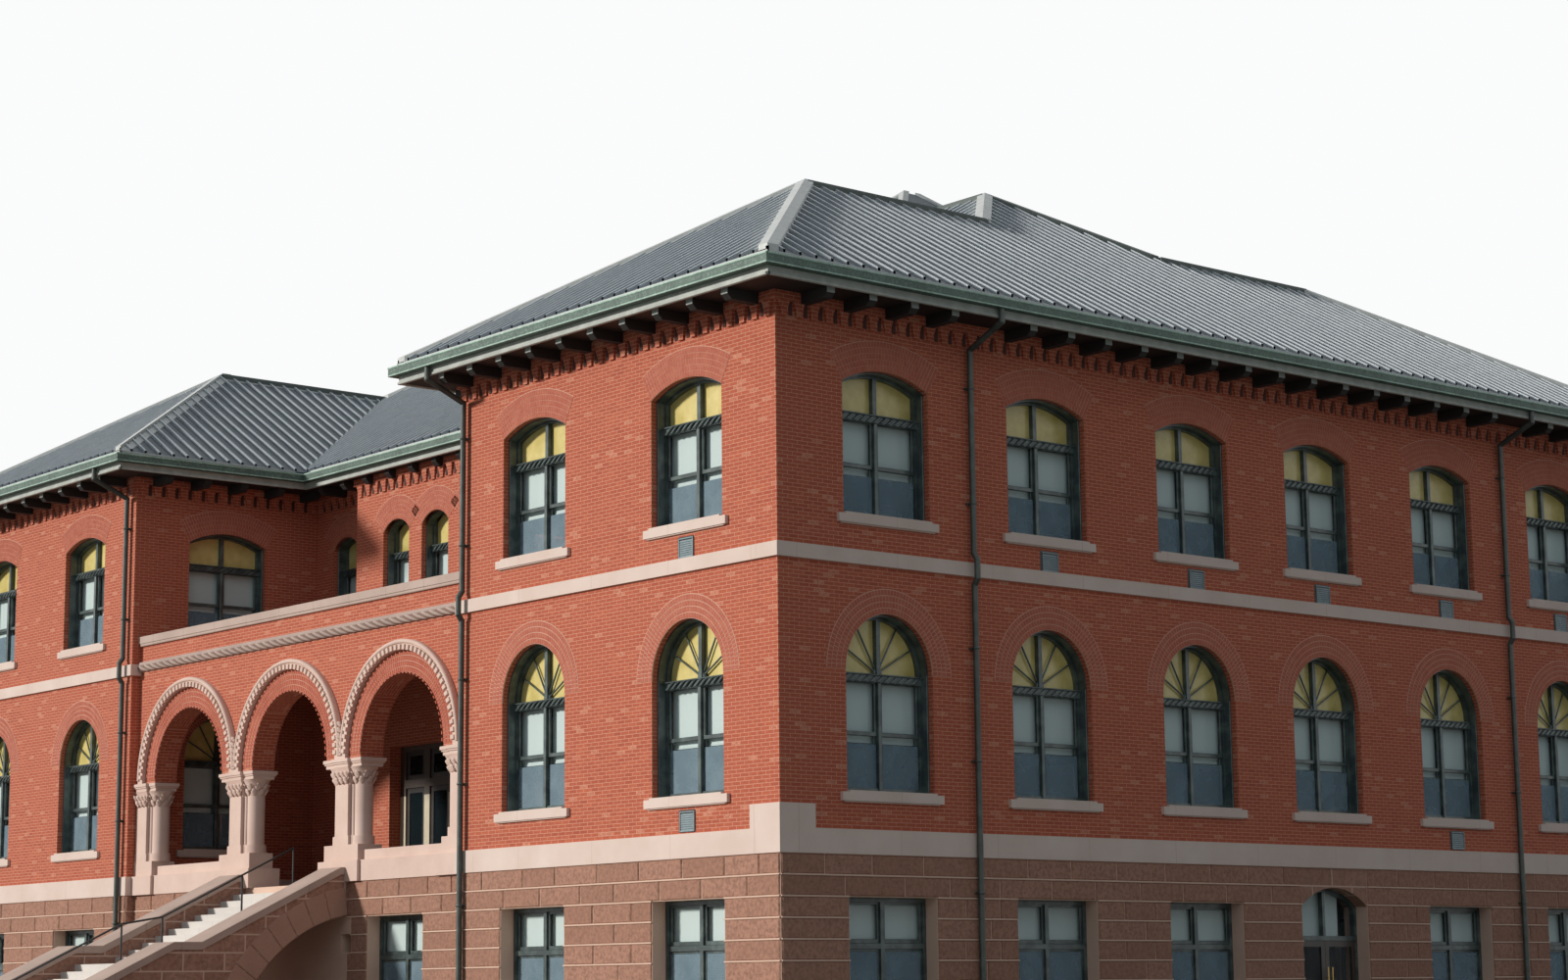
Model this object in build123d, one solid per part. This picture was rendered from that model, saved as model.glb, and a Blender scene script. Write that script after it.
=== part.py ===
from build123d import *
import math
import os

os.makedirs("parts", exist_ok=True)

# Town hall of stone and brick on an H-shaped plan. Millimetres, x to the right, y to the back, z up.
# The origin is at ground level in the middle of the block. The entrance court and its porch face -y.

# Plan
wing_width = 9630.0
court_width = 13410.0
side_length = 24560.0
court_depth = 4810.0
brick_wall = 500.0
stone_wall = 600.0
bay_width = 8190.0
bay_projection = 500.0
masonry_joint = 3.0
fit_gap = 0.3

# Heights
stone_course = 356.0
basement_courses = 11
band_height = 420.0
lower_brick_height = 4555.0
belt_height = 250.0
upper_brick_height = 4350.0
floor_thickness = 300.0
basement_floor_thickness = 120.0

# Projections of the trim beyond the wall faces
band_projection = 40.0
belt_projection = 60.0
corbel_projection = 70.0
corbel_height = 430.0
corner_stone_width = 750.0
corner_stone_height = 405.0

# Windows
window_width = 2020.0
window_reveal = 290.0
side_bays = (-9772.0, -5810.0, -1855.0, 1855.0, 5810.0, 9772.0)
wing_bays = (-2325.0, 2325.0)
rear_court_bays = (-4250.0, 0.0, 4250.0)
basement_window_height = 1670.0
basement_head_drop = 712.0
lower_sill_height = 630.0
lower_window_height = 3110.0
upper_sill_height = 614.0
upper_window_height = 2612.0
segment_rise = 263.0
narrow_window_width = 1085.0
bay_pitch = 1602.0
frame_width = 75.0
frame_depth = 110.0
mullion_width = 90.0
glass_thickness = 12.0
basement_transom = 0.5
lower_transom = 0.64
upper_transom = 0.68
sill_thickness = 150.0
sill_projection = 70.0
sill_reach = 160.0
sill_tread = 30.0
glass_margin = 20.0
slit_width = 390.0
slit_height = 360.0
slit_drop = 1050.0

# Roof
overhang = 1030.0
roof_pitch = 0.59
roof_thickness = 250.0
soffit_thickness = 40.0
eaves_height = 309.0
gutter_width = 150.0
gutter_height = 180.0
gutter_metal = 12.0
fascia_thickness = 60.0
fascia_drip = 15.0
roof_nose = 20.0
roof_sheet = 30.0
cap_width = 330.0
cap_thickness = 25.0
bracket_pitch = 972.0
bracket_width = 175.0
bracket_height = 190.0
bracket_setback = 60.0
vent_place = 6500.0
vent_width = 2600.0
vent_depth = 3100.0
vent_rise = 605.0
vent_pitch = 0.8
downspout_diameter = 110.0
downspout_gap = 15.0
downspout_kink = 80.0
elbow_swell = 3.0
downspout_side_place = 7805.0
downspout_front_place = 250.0

# Porch
porch_setback = 215.0
porch_wall = 540.0
porch_end_width = 836.0
arch_radius = 1524.0
arch_stilt = 70.0
impost_top = 2492.0
abacus_height = 180.0
capital_height = 350.0
impost_overlap = 82.0
column_base_height = 180.0
pedestal_top = 745.0
pedestal_overlap = 110.0
parapet_top = 625.0
parapet_setback = 60.0
pilaster_width = 480.0
pilaster_projection = 25.0
column_diameter = 375.0
column_offset = 375.0
column_base_flare = 40.0
colonnette_diameter = 100.0
end_pilaster_place = 285.0
hood_width = 205.0
hood_projection = 90.0
rope_height = 5137.0
rope_standout = 30.0
rope_diameter = 140.0
fillet_height = 90.0
fillet_bite = 25.0
fillet_projection = 65.0
arcade_top = 5700.0
coping_height = 160.0
coping_overlap = 70.0
porch_floor_thickness = 300.0
entrance_width = 5100.0
entrance_height = 3250.0
entrance_post = 220.0
entrance_transom = 180.0
entrance_door_height = 2400.0
porch_window_place = 4190.0
slit_place = 2390.0

# Front stair
riser_count = 27
upper_risers = 11
going = 300.0
landing_length = 900.0
stair_width = 3390.0
cheek_width = 750.0
cheek_rise = 380.0
cheek_top = 285.0
stair_coping_height = 150.0
stair_coping_overlap = 35.0
newel_length = 800.0
arch_crown_drop = 676.0
arch_haunch_drop = 1440.0
arch_haunch_out = 1600.0
arch_spring_drop = 2700.0
arch_reach = 2460.0
rail_height = 780.0
rail_diameter = 42.0

# Side door, with two leaves that open outwards
door_bay = 1855.0
door_width = 1980.0
door_spring_height = 3170.0
door_rise = 360.0
door_frame_width = 70.0
door_transom_height = 2560.0
door_transom_depth = 90.0
door_leaf_thickness = 45.0
door_clearance = 8.0
door_floor_gap = 12.0
door_stile = 115.0
door_bottom_rail = 260.0
door_glass_thickness = 8.0
hinge_length = 60.0
hinge_diameter = 22.0
hinge_plate = 3.0
hinge_leaf = 34.0
pull_height = 420.0
pull_diameter = 28.0
pull_standoff = 50.0
pull_stem_diameter = 20.0
pull_centre_height = 1050.0

# Worked out from the sizes above
half_width = court_width / 2 + wing_width
half_length = side_length / 2
court_half = court_width / 2
arch_pitch = court_half - arch_radius - porch_end_width
wing_middle = court_half + wing_width / 2
court_line = half_length - court_depth
basement_top = basement_courses * stone_course
brick_bottom = basement_top + band_height
belt_bottom = brick_bottom + lower_brick_height
belt_top = belt_bottom + belt_height
wall_top = belt_top + upper_brick_height
eaves_top = wall_top + eaves_height
porch_face = -half_length + porch_setback
door_step = basement_floor_thickness
riser = basement_top / riser_count


def box(x0, x1, y0, y1, z0, z1):
    """Box between two corners given in any order."""
    size = (abs(x1 - x0), abs(y1 - y0), abs(z1 - z0))
    return Pos((x0 + x1) / 2, (y0 + y1) / 2, (z0 + z1) / 2) * Box(*size)


def face_plane(x, y, nx, ny):
    """Plane on a wall face whose outward normal is (nx, ny): local x runs along the wall, local y is up."""
    return Plane(origin=(x, y, 0), x_dir=(-ny, nx, 0), z_dir=(nx, ny, 0))


def write(name, shapes):
    """One STEP file for one sub-part, which may be several solids that don't touch."""
    solids = []
    for shape in shapes:
        solids.extend(shape.solids())
    export_step(Compound(children=solids) if len(solids) > 1 else solids[0], f"parts/{name}.step")


# Wall faces: plane, and half of the length along the wall
def side_face(side):
    return face_plane(side * half_width, 0, side, 0)


def wing_end_face(side, end):
    return face_plane(side * wing_middle, end * half_length, 0, end)


def court_side_face(side, end):
    return face_plane(side * court_half, end * (half_length - court_depth / 2), -side, 0)


def court_centre_face(end, forward=0.0):
    return face_plane(0, end * (court_line + forward), 0, end)


def outline(kind, width, low, high, rise=0.0, inset=0.0):
    """Outline of an opening with its middle at x = 0: flat, round or segmental head."""
    half = width / 2 - inset
    foot = low + inset
    if kind == "flat":
        points = [(-half, foot), (half, foot), (half, high - inset), (-half, high - inset)]
        return make_face(Polyline(*points, close=True))
    radius = width / 2 if kind == "round" else (width * width / 4 + rise * rise) / (2 * rise)
    centre = high - radius
    reach = radius - inset
    spring = centre + math.sqrt(max(reach * reach - half * half, 0))
    sides = Polyline((-half, spring), (-half, foot), (half, foot), (half, spring))
    head = ThreePointArc((half, spring), (0, centre + reach), (-half, spring))
    return make_face(sides + head)


# Every window of a storey: the wall face, the place along it, and the opening's own sizes
basement_opening = ("flat", window_width, basement_top - basement_head_drop - basement_window_height,
                    basement_top - basement_head_drop, 0.0)
lower_opening = ("round", window_width, brick_bottom + lower_sill_height,
                 brick_bottom + lower_sill_height + lower_window_height, 0.0)
upper_opening = ("segment", window_width, belt_top + upper_sill_height,
                 belt_top + upper_sill_height + upper_window_height, segment_rise)
upper_narrow = ("segment", narrow_window_width, belt_top + upper_sill_height,
                belt_top + upper_sill_height + upper_window_height, segment_rise / 2)
bay_opening = ("flat", narrow_window_width, belt_top + upper_sill_height,
               belt_top + upper_sill_height + upper_window_height, 0.0)
bay_places = [bay_pitch * k for k in (-1.5, -0.5, 0.5, 1.5)]
strip_place = (court_half + bay_width / 2) / 2
entrance_opening = ("flat", entrance_width, basement_top, basement_top + entrance_height, 0.0)
door_opening = ("segment", door_width, 0.0, door_spring_height + door_rise, door_rise)
corners = [(side, end) for side in (-1, 1) for end in (-1, 1)]


def storey_windows(opening):
    """Windows of one storey apart from the front court's own middle wall and the side door's bay."""
    windows = []
    for side in (-1, 1):
        for place in side_bays:
            is_door = opening is basement_opening and side == 1 and place == door_bay
            if not is_door:
                windows.append((side_face(side), place, opening))
    for side, end in corners:
        windows.extend((wing_end_face(side, end), place, opening) for place in wing_bays)
        windows.append((court_side_face(side, end), 0.0, opening))
    windows.extend((court_centre_face(1), place, opening) for place in rear_court_bays)
    return windows


def porch_base_windows():
    face = face_plane(0, porch_face, 0, -1)
    return [(face, place, basement_opening) for place in (-porch_window_place, porch_window_place)]


basement_windows = storey_windows(basement_opening)
lower_windows = storey_windows(lower_opening)
upper_windows = storey_windows(upper_opening)
upper_windows += [(court_centre_face(-1), place, upper_narrow) for place in (-strip_place, strip_place)]
upper_windows += [(court_centre_face(-1, bay_projection), place, bay_opening) for place in bay_places]


def cutter(face, place, opening, depth):
    """Solid that cuts an opening inwards from a wall face, starting just outside it."""
    kind, width, low, high, rise = opening
    sketch = face.offset(50) * Pos(place, 0) * outline(kind, width, low, high, rise)
    return extrude(sketch, amount=-(depth + 100))


def cut_windows(wall, windows, depth):
    """Wall with the windows of its own face cut through."""
    for face, place, opening in windows:
        tool = cutter(face, place, opening, depth)
        wall = wall - tool
    return wall


def windows_on(windows, face):
    return [w for w in windows if w[0].origin == face.origin and w[0].z_dir == face.z_dir]


def wall_panel(face, start, end, low, high, thickness):
    """Straight piece of wall behind a wall face."""
    sketch = face * Pos((start + end) / 2, (low + high) / 2) * Rectangle(end - start, high - low)
    return extrude(sketch, amount=-thickness)


def side_wall(side, windows, low, high, thickness):
    face = side_face(side)
    wall = wall_panel(face, -half_length, half_length, low, high, thickness)
    return cut_windows(wall, windows_on(windows, face), thickness)


def wing_end_walls(windows, low, high, thickness):
    walls = []
    reach = wing_width / 2 - thickness - masonry_joint
    for side, end in corners:
        face = wing_end_face(side, end)
        wall = wall_panel(face, -reach, reach, low, high, thickness)
        walls.append(cut_windows(wall, windows_on(windows, face), thickness))
    return walls


def court_walls(end, windows, low, high, thickness, bay=0.0):
    """Walls round three sides of a court: the wings' inner walls and the wall between them."""
    inner = court_line - thickness
    wall = box(-court_half, court_half, end * inner, end * court_line, low, high)
    for side in (-1, 1):
        outside = side * (court_half + thickness)
        wall = wall + box(side * court_half, outside, end * inner, end * half_length, low, high)
    if bay:
        half_bay = bay_width / 2
        wall = wall + box(-half_bay, half_bay, end * inner, end * (court_line + bay), low, high)
        room = half_bay - thickness
        wall = wall - box(-room, room, end * (inner - 50), end * (court_line + bay - thickness), low, high)
    for side in (-1, 1):
        wall = cut_windows(wall, windows_on(windows, court_side_face(side, end)), thickness)
    wall = cut_windows(wall, windows_on(windows, court_centre_face(end)), thickness)
    if bay:
        wall = cut_windows(wall, windows_on(windows, court_centre_face(end, bay)), thickness)
    return wall


# Basement, of coursed stone
def write_basement():
    low, high, thick = 0.0, basement_top, stone_wall
    write("basement_left_wall", [side_wall(-1, basement_windows, low, high, thick)])
    face = side_face(1)
    windows = windows_on(basement_windows, face)
    before = door_bay - door_width / 2
    after = door_bay + door_width / 2
    front_part = wall_panel(face, -half_length, before, low, high, thick)
    rear_part = wall_panel(face, after, half_length, low, high, thick)
    parts = [cut_windows(front_part, windows[:3], thick), cut_windows(rear_part, windows[3:], thick)]
    write("basement_right_wall", parts)
    over_door = wall_panel(face, before, after, door_spring_height, high, thick)
    step = wall_panel(face, before + fit_gap, after - fit_gap, 0, door_step, thick)
    write("side_door_surround", [over_door - cutter(face, door_bay, door_opening, thick), step])
    write("basement_wing_end_walls", wing_end_walls(basement_windows, low, high, thick))
    rear = court_walls(1, basement_windows, low, high, thick)
    front = court_walls(-1, basement_windows, low, high, thick)
    write("basement_court_walls", [front, rear])


def write_storey(name, windows, low, high):
    write(f"{name}_side_walls", [side_wall(side, windows, low, high, brick_wall) for side in (-1, 1)])
    write(f"{name}_wing_end_walls", wing_end_walls(windows, low, high, brick_wall))
    front = court_walls(-1, windows, low, high, brick_wall, bay_projection)
    if name == "lower":
        entrance = court_centre_face(-1, bay_projection)
        front = front - cutter(entrance, 0, entrance_opening, brick_wall)
    rear = court_walls(1, windows, low, high, brick_wall)
    write(f"{name}_court_walls", [front, rear])


# Courses that run round the block in straight lengths, parted by masonry joints
def side_runs(out, depth):
    """Plan boxes (x0, x1, y0, y1) from out beyond the wall faces to depth behind them, without the court walls."""
    runs = []
    for side in (-1, 1):
        runs.append((side * (half_width - depth), side * (half_width + out), -half_length - out, half_length + out))
    for side, end in corners:
        x0 = side * (half_width - depth - masonry_joint)
        x1 = side * (court_half + depth + masonry_joint)
        runs.append((x0, x1, end * (half_length - depth), end * (half_length + out)))
        x0, x1 = side * (court_half + depth), side * (court_half - out)
        runs.append((x0, x1, end * (court_line - depth), end * (half_length + out)))
    return runs


def centre_run(end, out, depth):
    """Plan box along the wall between two wings."""
    reach = court_half - out - masonry_joint
    return -reach, reach, end * (court_line - depth), end * (court_line + out)


def bay_runs(out, depth):
    """Plan boxes along the front court's middle wall and round its bay."""
    x0, x1, y0, y1 = centre_run(-1, out, depth)
    half_bay = bay_width / 2 + out
    runs = [(-half_bay, half_bay, y0, -court_line - bay_projection - out)]
    runs.append((x0, -half_bay - masonry_joint, y0, y1))
    runs.append((half_bay + masonry_joint, x1, y0, y1))
    return runs


def course(runs, low, high):
    return [box(x0, x1, y0, y1, low, high) for x0, x1, y0, y1 in runs]


def full_course(out, depth, low, high):
    """Course right through the walls, with the bay."""
    return course(side_runs(out, depth) + [centre_run(1, out, depth)] + bay_runs(out, depth), low, high)


def porch_zone(overlap, low, high):
    """Space of the porch front, which the wings' courses leave free."""
    y0, y1 = porch_face - overlap, porch_face + porch_wall + overlap
    return box(-court_half, court_half, y0, y1, low, high)


def write_band():
    """Pale stone band under the brick, with taller stones at the front corners."""
    gap = porch_zone(pedestal_overlap, basement_top - 1, brick_bottom + 1)
    door = cutter(court_centre_face(-1, bay_projection), 0, entrance_opening, stone_wall + bay_projection)
    band = full_course(band_projection, stone_wall, basement_top, brick_bottom)
    write("stone_band", [run - gap - door for run in band])
    stones = []
    out = band_projection
    top = brick_bottom + corner_stone_height
    for side in (-1, 1):
        x0, x1 = side * (half_width - corner_stone_width), side * (half_width + out)
        stone = box(x0, x1, -half_length + corner_stone_width, -half_length - out, brick_bottom, top)
        stones.append(stone - box(side * half_width, 0, -half_length, 0, brick_bottom, top))
    write("corner_stones", stones)


def write_belt():
    gap = porch_zone(0, belt_bottom - 1, belt_top + 1)
    belt = full_course(belt_projection, brick_wall, belt_bottom, belt_top)
    write("belt_course", [run - gap for run in belt])


def write_corbels():
    """Brick corbel course at the head of the walls, on their faces only."""
    low = wall_top - corbel_height
    runs = full_course(corbel_projection, 0.0, low, wall_top)
    corbels = []
    bay = box(-bay_width / 2, bay_width / 2, -court_line - bay_projection, 0, low - 1, wall_top + 1)
    for run in runs:
        corbels.append(run - bay if run.bounding_box().min.Y > -half_length + court_depth / 2 else run)
    write("corbel_course", corbels)


def sill(face, place, opening):
    kind, width, low, high, rise = opening
    reach = width / 2 + min(sill_reach, (bay_pitch - narrow_window_width) / 2 - masonry_joint)
    if width > narrow_window_width:
        reach = width / 2 + sill_reach
    outside = face * Pos(place, low - sill_thickness / 2) * Rectangle(2 * reach, sill_thickness)
    inside = face * Pos(place, low + sill_tread / 2) * Rectangle(width - 2 * fit_gap, sill_tread)
    stone = extrude(outside, amount=sill_projection)
    return stone + extrude(inside, amount=sill_projection) + extrude(inside, amount=-window_reveal - frame_depth)


def write_sills():
    windows = basement_windows + porch_base_windows() + lower_windows + upper_windows
    raised = [sill(*window) for window in windows if window[2] is not basement_opening]
    flush = []
    for face, place, opening in basement_windows + porch_base_windows():
        sketch = face * Pos(place, opening[2] + sill_tread / 2) * Rectangle(opening[1] - 2 * fit_gap, sill_tread)
        flush.append(extrude(sketch, amount=-window_reveal - frame_depth))
    write("window_sills", raised + flush)


# Windows: a frame with a transom and a mullion, and a pane behind it
def window_frame(face, place, opening, transom_share):
    kind, width, low, high, rise = opening
    foot = low + sill_tread
    plane = face.offset(-window_reveal) * Pos(place, 0)
    outer = outline(kind, width, foot, high, rise, fit_gap)
    inner = outline(kind, width, foot, high, rise, frame_width)
    level = foot + (high - foot) * transom_share
    bars = Pos(0, level) * Rectangle(width, mullion_width)
    if width > narrow_window_width:
        bars = bars + Pos(0, (low + high) / 2) * Rectangle(mullion_width, high - low)
    return extrude(plane * ((outer - inner) + (bars & outer)), amount=-frame_depth)


def window_pane(face, place, opening):
    kind, width, low, high, rise = opening
    plane = face.offset(-window_reveal - frame_depth) * Pos(place, 0)
    pane = outline(kind, width, low + sill_tread, high, rise, glass_margin)
    return extrude(plane * pane, amount=-glass_thickness)


def write_windows():
    storeys = [(basement_windows + porch_base_windows(), basement_transom), (lower_windows, lower_transom),
               (upper_windows, upper_transom)]
    frames = []
    panes = []
    for windows, share in storeys:
        frames.extend(window_frame(*window, share) for window in windows)
        panes.extend(window_pane(*window) for window in windows)
    write("window_frames", frames)
    write("window_glass", panes)


# Floors: three slabs to a storey, one in each wing and one between them
def write_floor(name, top, thickness, wall):
    slabs = []
    low = top - thickness
    for side in (-1, 1):
        x0, x1 = side * (half_width - wall), side * (court_half + wall)
        slabs.append(box(x0, x1, -half_length + wall, half_length - wall, low, top))
    reach = court_half + wall - masonry_joint
    slabs.append(box(-reach, reach, wall - court_line, court_line - wall, low, top))
    write(name, slabs)


# Roof: equal pitches rise from one eaves line all round the block
def plane_height(out):
    """Height of the roof surface at a distance out from the wall faces."""
    return eaves_top + roof_pitch * (overhang - out)


def gable_prism(half_span, half_run, base, edge, pitch):
    """Prism with a ridge along x, centred on the z axis."""
    top = edge + pitch * half_span
    points = [(-half_span, base), (half_span, base), (half_span, edge), (0, top), (-half_span, edge)]
    profile = Plane.YZ.offset(-half_run) * make_face(Polyline(*points, close=True))
    return extrude(profile, amount=2 * half_run)


def end_slopes(half_span, half_run, base, edge, pitch):
    """Solid under two slopes that face along x, as high as the matching gable prism."""
    top = edge + pitch * half_span
    inner = max(half_run - half_span, 0.5)
    points = [(-half_run, base), (half_run, base), (half_run, edge), (inner, top), (-inner, top), (-half_run, edge)]
    profile = Plane.XZ.offset(-half_span) * make_face(Polyline(*points, close=True))
    return extrude(profile, amount=2 * half_span)


def hip_block(half_x, half_y, base, edge, pitch=roof_pitch):
    """Hipped block with its ridge along the longer side."""
    span, run = min(half_x, half_y), max(half_x, half_y)
    block = gable_prism(span, run, base, edge, pitch) & end_slopes(span, run, base, edge, pitch)
    return block if half_x >= half_y else Rot(0, 0, 90) * block


def roof_solid(base, edge, spread):
    """Main roof across the block, joined to one long roof over each pair of wings."""
    roof = hip_block(half_width + spread, court_line + spread, base, edge)
    for side in (-1, 1):
        wing = hip_block(wing_width / 2 + spread, half_length + spread, base, edge)
        roof = roof + Pos(side * wing_middle, 0, 0) * wing
    return roof


def attic_room():
    """Space inside the walls, where the roof is hollow."""
    high = wall_top + half_width
    inner = half_width - brick_wall
    reach = court_line - brick_wall
    room = box(-inner, inner, -reach, reach, wall_top, high)
    for side in (-1, 1):
        reach = half_length - brick_wall
        room = room + box(side * (court_half + brick_wall), side * inner, -reach, reach, wall_top, high)
    return room


def roof_vents():
    """Small hipped vents that straddle the main ridge."""
    top = plane_height(-court_line) + vent_rise
    edge = top - vent_pitch * vent_width / 2
    block = hip_block(vent_width / 2, vent_depth / 2, wall_top, edge, vent_pitch)
    return [Pos(side * vent_place, 0, 0) * block for side in (-1, 1)]


def roof_outside(lift=0.0):
    """Roof with its sheet carried over the fascia into the gutter."""
    base = wall_top + soffit_thickness
    spread = overhang - gutter_width - fascia_thickness
    nose = overhang - gutter_width + roof_nose
    body = roof_solid(base, plane_height(spread) + lift, spread)
    sheet = roof_solid(plane_height(nose) - roof_sheet, plane_height(nose) + lift, nose)
    return body + sheet


def write_roof():
    spread = overhang - gutter_width - fascia_thickness
    outside = roof_outside()
    drop = roof_thickness * math.sqrt(1 + roof_pitch * roof_pitch)
    hollow = roof_solid(wall_top, plane_height(spread) - drop, spread) & attic_room()
    shell = outside - hollow
    eave = court_line + overhang - gutter_width + roof_nose
    reach = half_width + 2 * overhang
    far = half_length + 2 * overhang
    top = wall_top + half_width
    write("main_roof", [shell & box(-reach, reach, -eave, eave, wall_top, top)])
    ends = []
    for side, end in corners:
        ends.append(shell & box(0, side * reach, end * (eave + masonry_joint), end * far, wall_top, top))
    write("wing_roofs", ends)
    below = roof_solid(wall_top - 1, plane_height(spread), spread)
    write("roof_vents", [vent - below for vent in roof_vents()])
    caps = (roof_outside(cap_thickness) - outside) & cap_strips()
    for vent in roof_vents():
        caps = caps - vent
    write("roof_caps", [caps])


def strip(x, y, length, angle):
    """Upright slab as wide as the metal caps, under a hip or ridge line in plan."""
    tall = half_width
    return Pos(x, y, eaves_top + tall / 2) * Rot(0, 0, angle) * Box(length, cap_width, tall)


def cap_strips():
    """Upright slabs along every hip and ridge that shows."""
    eave = overhang - gutter_width + roof_nose
    main_run = court_line + eave
    wing_run = wing_width / 2 + eave
    ridge_end = half_width + eave - main_run
    near, far = main_run - wing_run, half_length + eave - wing_run
    strips = strip(0, 0, 2 * ridge_end, 0)
    for side, end in corners:
        x = side * wing_middle
        strips = strips + strip(x, end * (near + far) / 2, far - near, 90)
        y = end * (far + wing_run / 2)
        for turn in (-1, 1):
            strips = strips + strip(x + turn * wing_run / 2, y, wing_run * math.sqrt(2), 45 * turn * end)
        strips = strips + strip(side * (ridge_end + near / 2), end * near / 2, near * math.sqrt(2), 45 * side * end)
    return strips


# Eaves: soffit on the wall heads, fascia, gutter and rafter ends
def bracket_places(half):
    """Places at one pitch along an eaves line of the given half length."""
    count = int(2 * (half - bracket_width) // bracket_pitch)
    return [(k - count / 2) * bracket_pitch for k in range(count + 1)]


def bracket(face, place):
    """Rafter end under the soffit, bevelled below its tip."""
    near = corbel_projection
    far = overhang - gutter_width - fascia_thickness - bracket_setback
    bevel = bracket_height / 2
    points = [(near, 0), (far, 0), (far, bevel - bracket_height), (far - bevel, -bracket_height),
              (near, -bracket_height)]
    origin = face.from_local_coords((place, wall_top, 0))
    profile = Plane(origin=origin, x_dir=face.z_dir, z_dir=-face.x_dir) * make_face(Polyline(*points, close=True))
    return extrude(profile, amount=bracket_width / 2, both=True)


def front_court_brackets():
    """Rafter ends of the front court, cut short where the bay stands out under them."""
    face = court_centre_face(-1)
    half_bay = bay_width / 2 + corbel_projection
    front = -court_line - bay_projection - corbel_projection
    bay = box(-half_bay, half_bay, front, 0, 0, wall_top)
    beside = bracket_width
    brackets = []
    for place in bracket_places(court_half - overhang):
        if abs(abs(place) - half_bay) > beside:
            brackets.append(bracket(face, place) - bay)
    return brackets


def eaves_brackets():
    """Rafter ends at one pitch along every eaves line, left out where a downspout's neck passes."""
    half_end = wing_width / 2
    front_pipe = half_end - downspout_front_place
    lines = [(side_face(side), half_length, (-downspout_side_place, downspout_side_place)) for side in (-1, 1)]
    lines += [(wing_end_face(side, end), half_end, (-front_pipe, front_pipe)) for side, end in corners]
    lines += [(court_side_face(side, end), court_depth / 2, ()) for side, end in corners]
    lines += [(court_centre_face(1), court_half - overhang, ())]
    brackets = front_court_brackets()
    for face, half, pipes in lines:
        for place in bracket_places(half):
            if all(abs(place - pipe) > bracket_width for pipe in pipes):
                brackets.append(bracket(face, place))
    return brackets


def gutter(x0, x1, y0, y1, low, high):
    """Box gutter, open at the top."""
    along_x = abs(x1 - x0) > abs(y1 - y0)
    sx, sy = math.copysign(1, x1 - x0), math.copysign(1, y1 - y0)
    mx = 0 if along_x else gutter_metal * sx
    my = gutter_metal * sy if along_x else 0
    return box(x0, x1, y0, y1, low, high) - box(x0 + mx, x1 - mx, y0 + my, y1 - my, low + gutter_metal, high + 1)


def eaves_runs(inner, outer):
    """Plan boxes of an eaves course between two distances out from the wall faces."""
    return side_runs(outer, -inner) + [centre_run(end, outer, -inner) for end in (-1, 1)]


def write_eaves():
    board = overhang - gutter_width
    spread = board - fascia_thickness
    write("eaves_soffit", course(eaves_runs(-brick_wall, spread), wall_top, wall_top + soffit_thickness))
    write("eaves_fascia", course(eaves_runs(spread, board), wall_top - fascia_drip, eaves_top))
    runs = eaves_runs(board, overhang)
    write("gutters", [gutter(*run, eaves_top - gutter_height, eaves_top) for run in runs])
    write("eaves_brackets", eaves_brackets())


def bar(start, finish, diameter):
    """Round bar between two points."""
    span = Vector(finish) - Vector(start)
    return extrude(Plane(origin=start, z_dir=span) * Circle(diameter / 2), amount=span.length)


def pipe_run(points, diameter):
    """Round pipe along straight lengths with ball-shaped elbows, a little fuller than the pipe."""
    pipe = bar(points[0], points[1], diameter)
    for start, finish in zip(points[1:], points[2:]):
        pipe = pipe + Pos(*start) * Sphere(diameter / 2 + elbow_swell) + bar(start, finish, diameter)
    return pipe


def downspout(x, y, nx, ny):
    """Pipe from the gutter down the wall, set out round the belt course."""
    near = band_projection + downspout_gap + downspout_diameter / 2
    far = near + downspout_kink
    drop = overhang - gutter_width / 2
    gutter_bottom = eaves_top - gutter_height
    neck = wall_top - corbel_height - downspout_diameter / 2 - masonry_joint
    stations = [(near, 0), (near, belt_bottom - 2 * downspout_kink), (far, belt_bottom - downspout_kink / 2),
                (far, belt_top + downspout_kink / 2), (near, belt_top + 2 * downspout_kink), (near, neck),
                (drop, gutter_bottom - 2.2 * downspout_diameter), (drop, gutter_bottom)]
    return pipe_run([(x + nx * out, y + ny * out, z) for out, z in stations], downspout_diameter)


def write_downspouts():
    pipes = []
    for side in (-1, 1):
        for place in (-downspout_side_place, downspout_side_place):
            pipes.append(downspout(side * half_width, place, side, 0))
        for end in (-1, 1):
            pipes.append(downspout(side * (court_half + downspout_front_place), end * half_length, 0, end))
    write("downspouts", pipes)


# Porch: three round arches on clustered columns between the wings
pier_width = arch_pitch - 2 * arch_radius
porch_middle = porch_face + porch_wall / 2
impost_level = basement_top + impost_top
capital_foot = impost_level - abacus_height - capital_height
pedestal_level = basement_top + pedestal_top
arch_centre = impost_level + arch_stilt
end_reach = porch_end_width


def write_porch_base():
    """Stone wall under the porch front, with two windows and two slits."""
    face = face_plane(0, porch_face, 0, -1)
    wall = wall_panel(face, -court_half, court_half, 0, basement_top, stone_wall)
    wall = cut_windows(wall, porch_base_windows(), stone_wall)
    high = basement_top - slit_drop
    slit = ("flat", slit_width, high - slit_height, high, 0.0)
    for side in (-1, 1):
        wall = wall - cutter(face, side * slit_place, slit, stone_wall)
    write("porch_base_wall", [wall])
    floor = box(-court_half, court_half, porch_face + stone_wall, -court_line,
                basement_top - porch_floor_thickness, basement_top)
    write("porch_floor", [floor])


def pier_span(place):
    """Ends in x of the pier over a support: the two between arches, or the half pier at a wing."""
    if abs(place) < arch_pitch:
        return place - pier_width / 2, place + pier_width / 2
    side = math.copysign(1, place)
    return tuple(sorted((side * court_half, side * (court_half - end_reach))))


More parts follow.
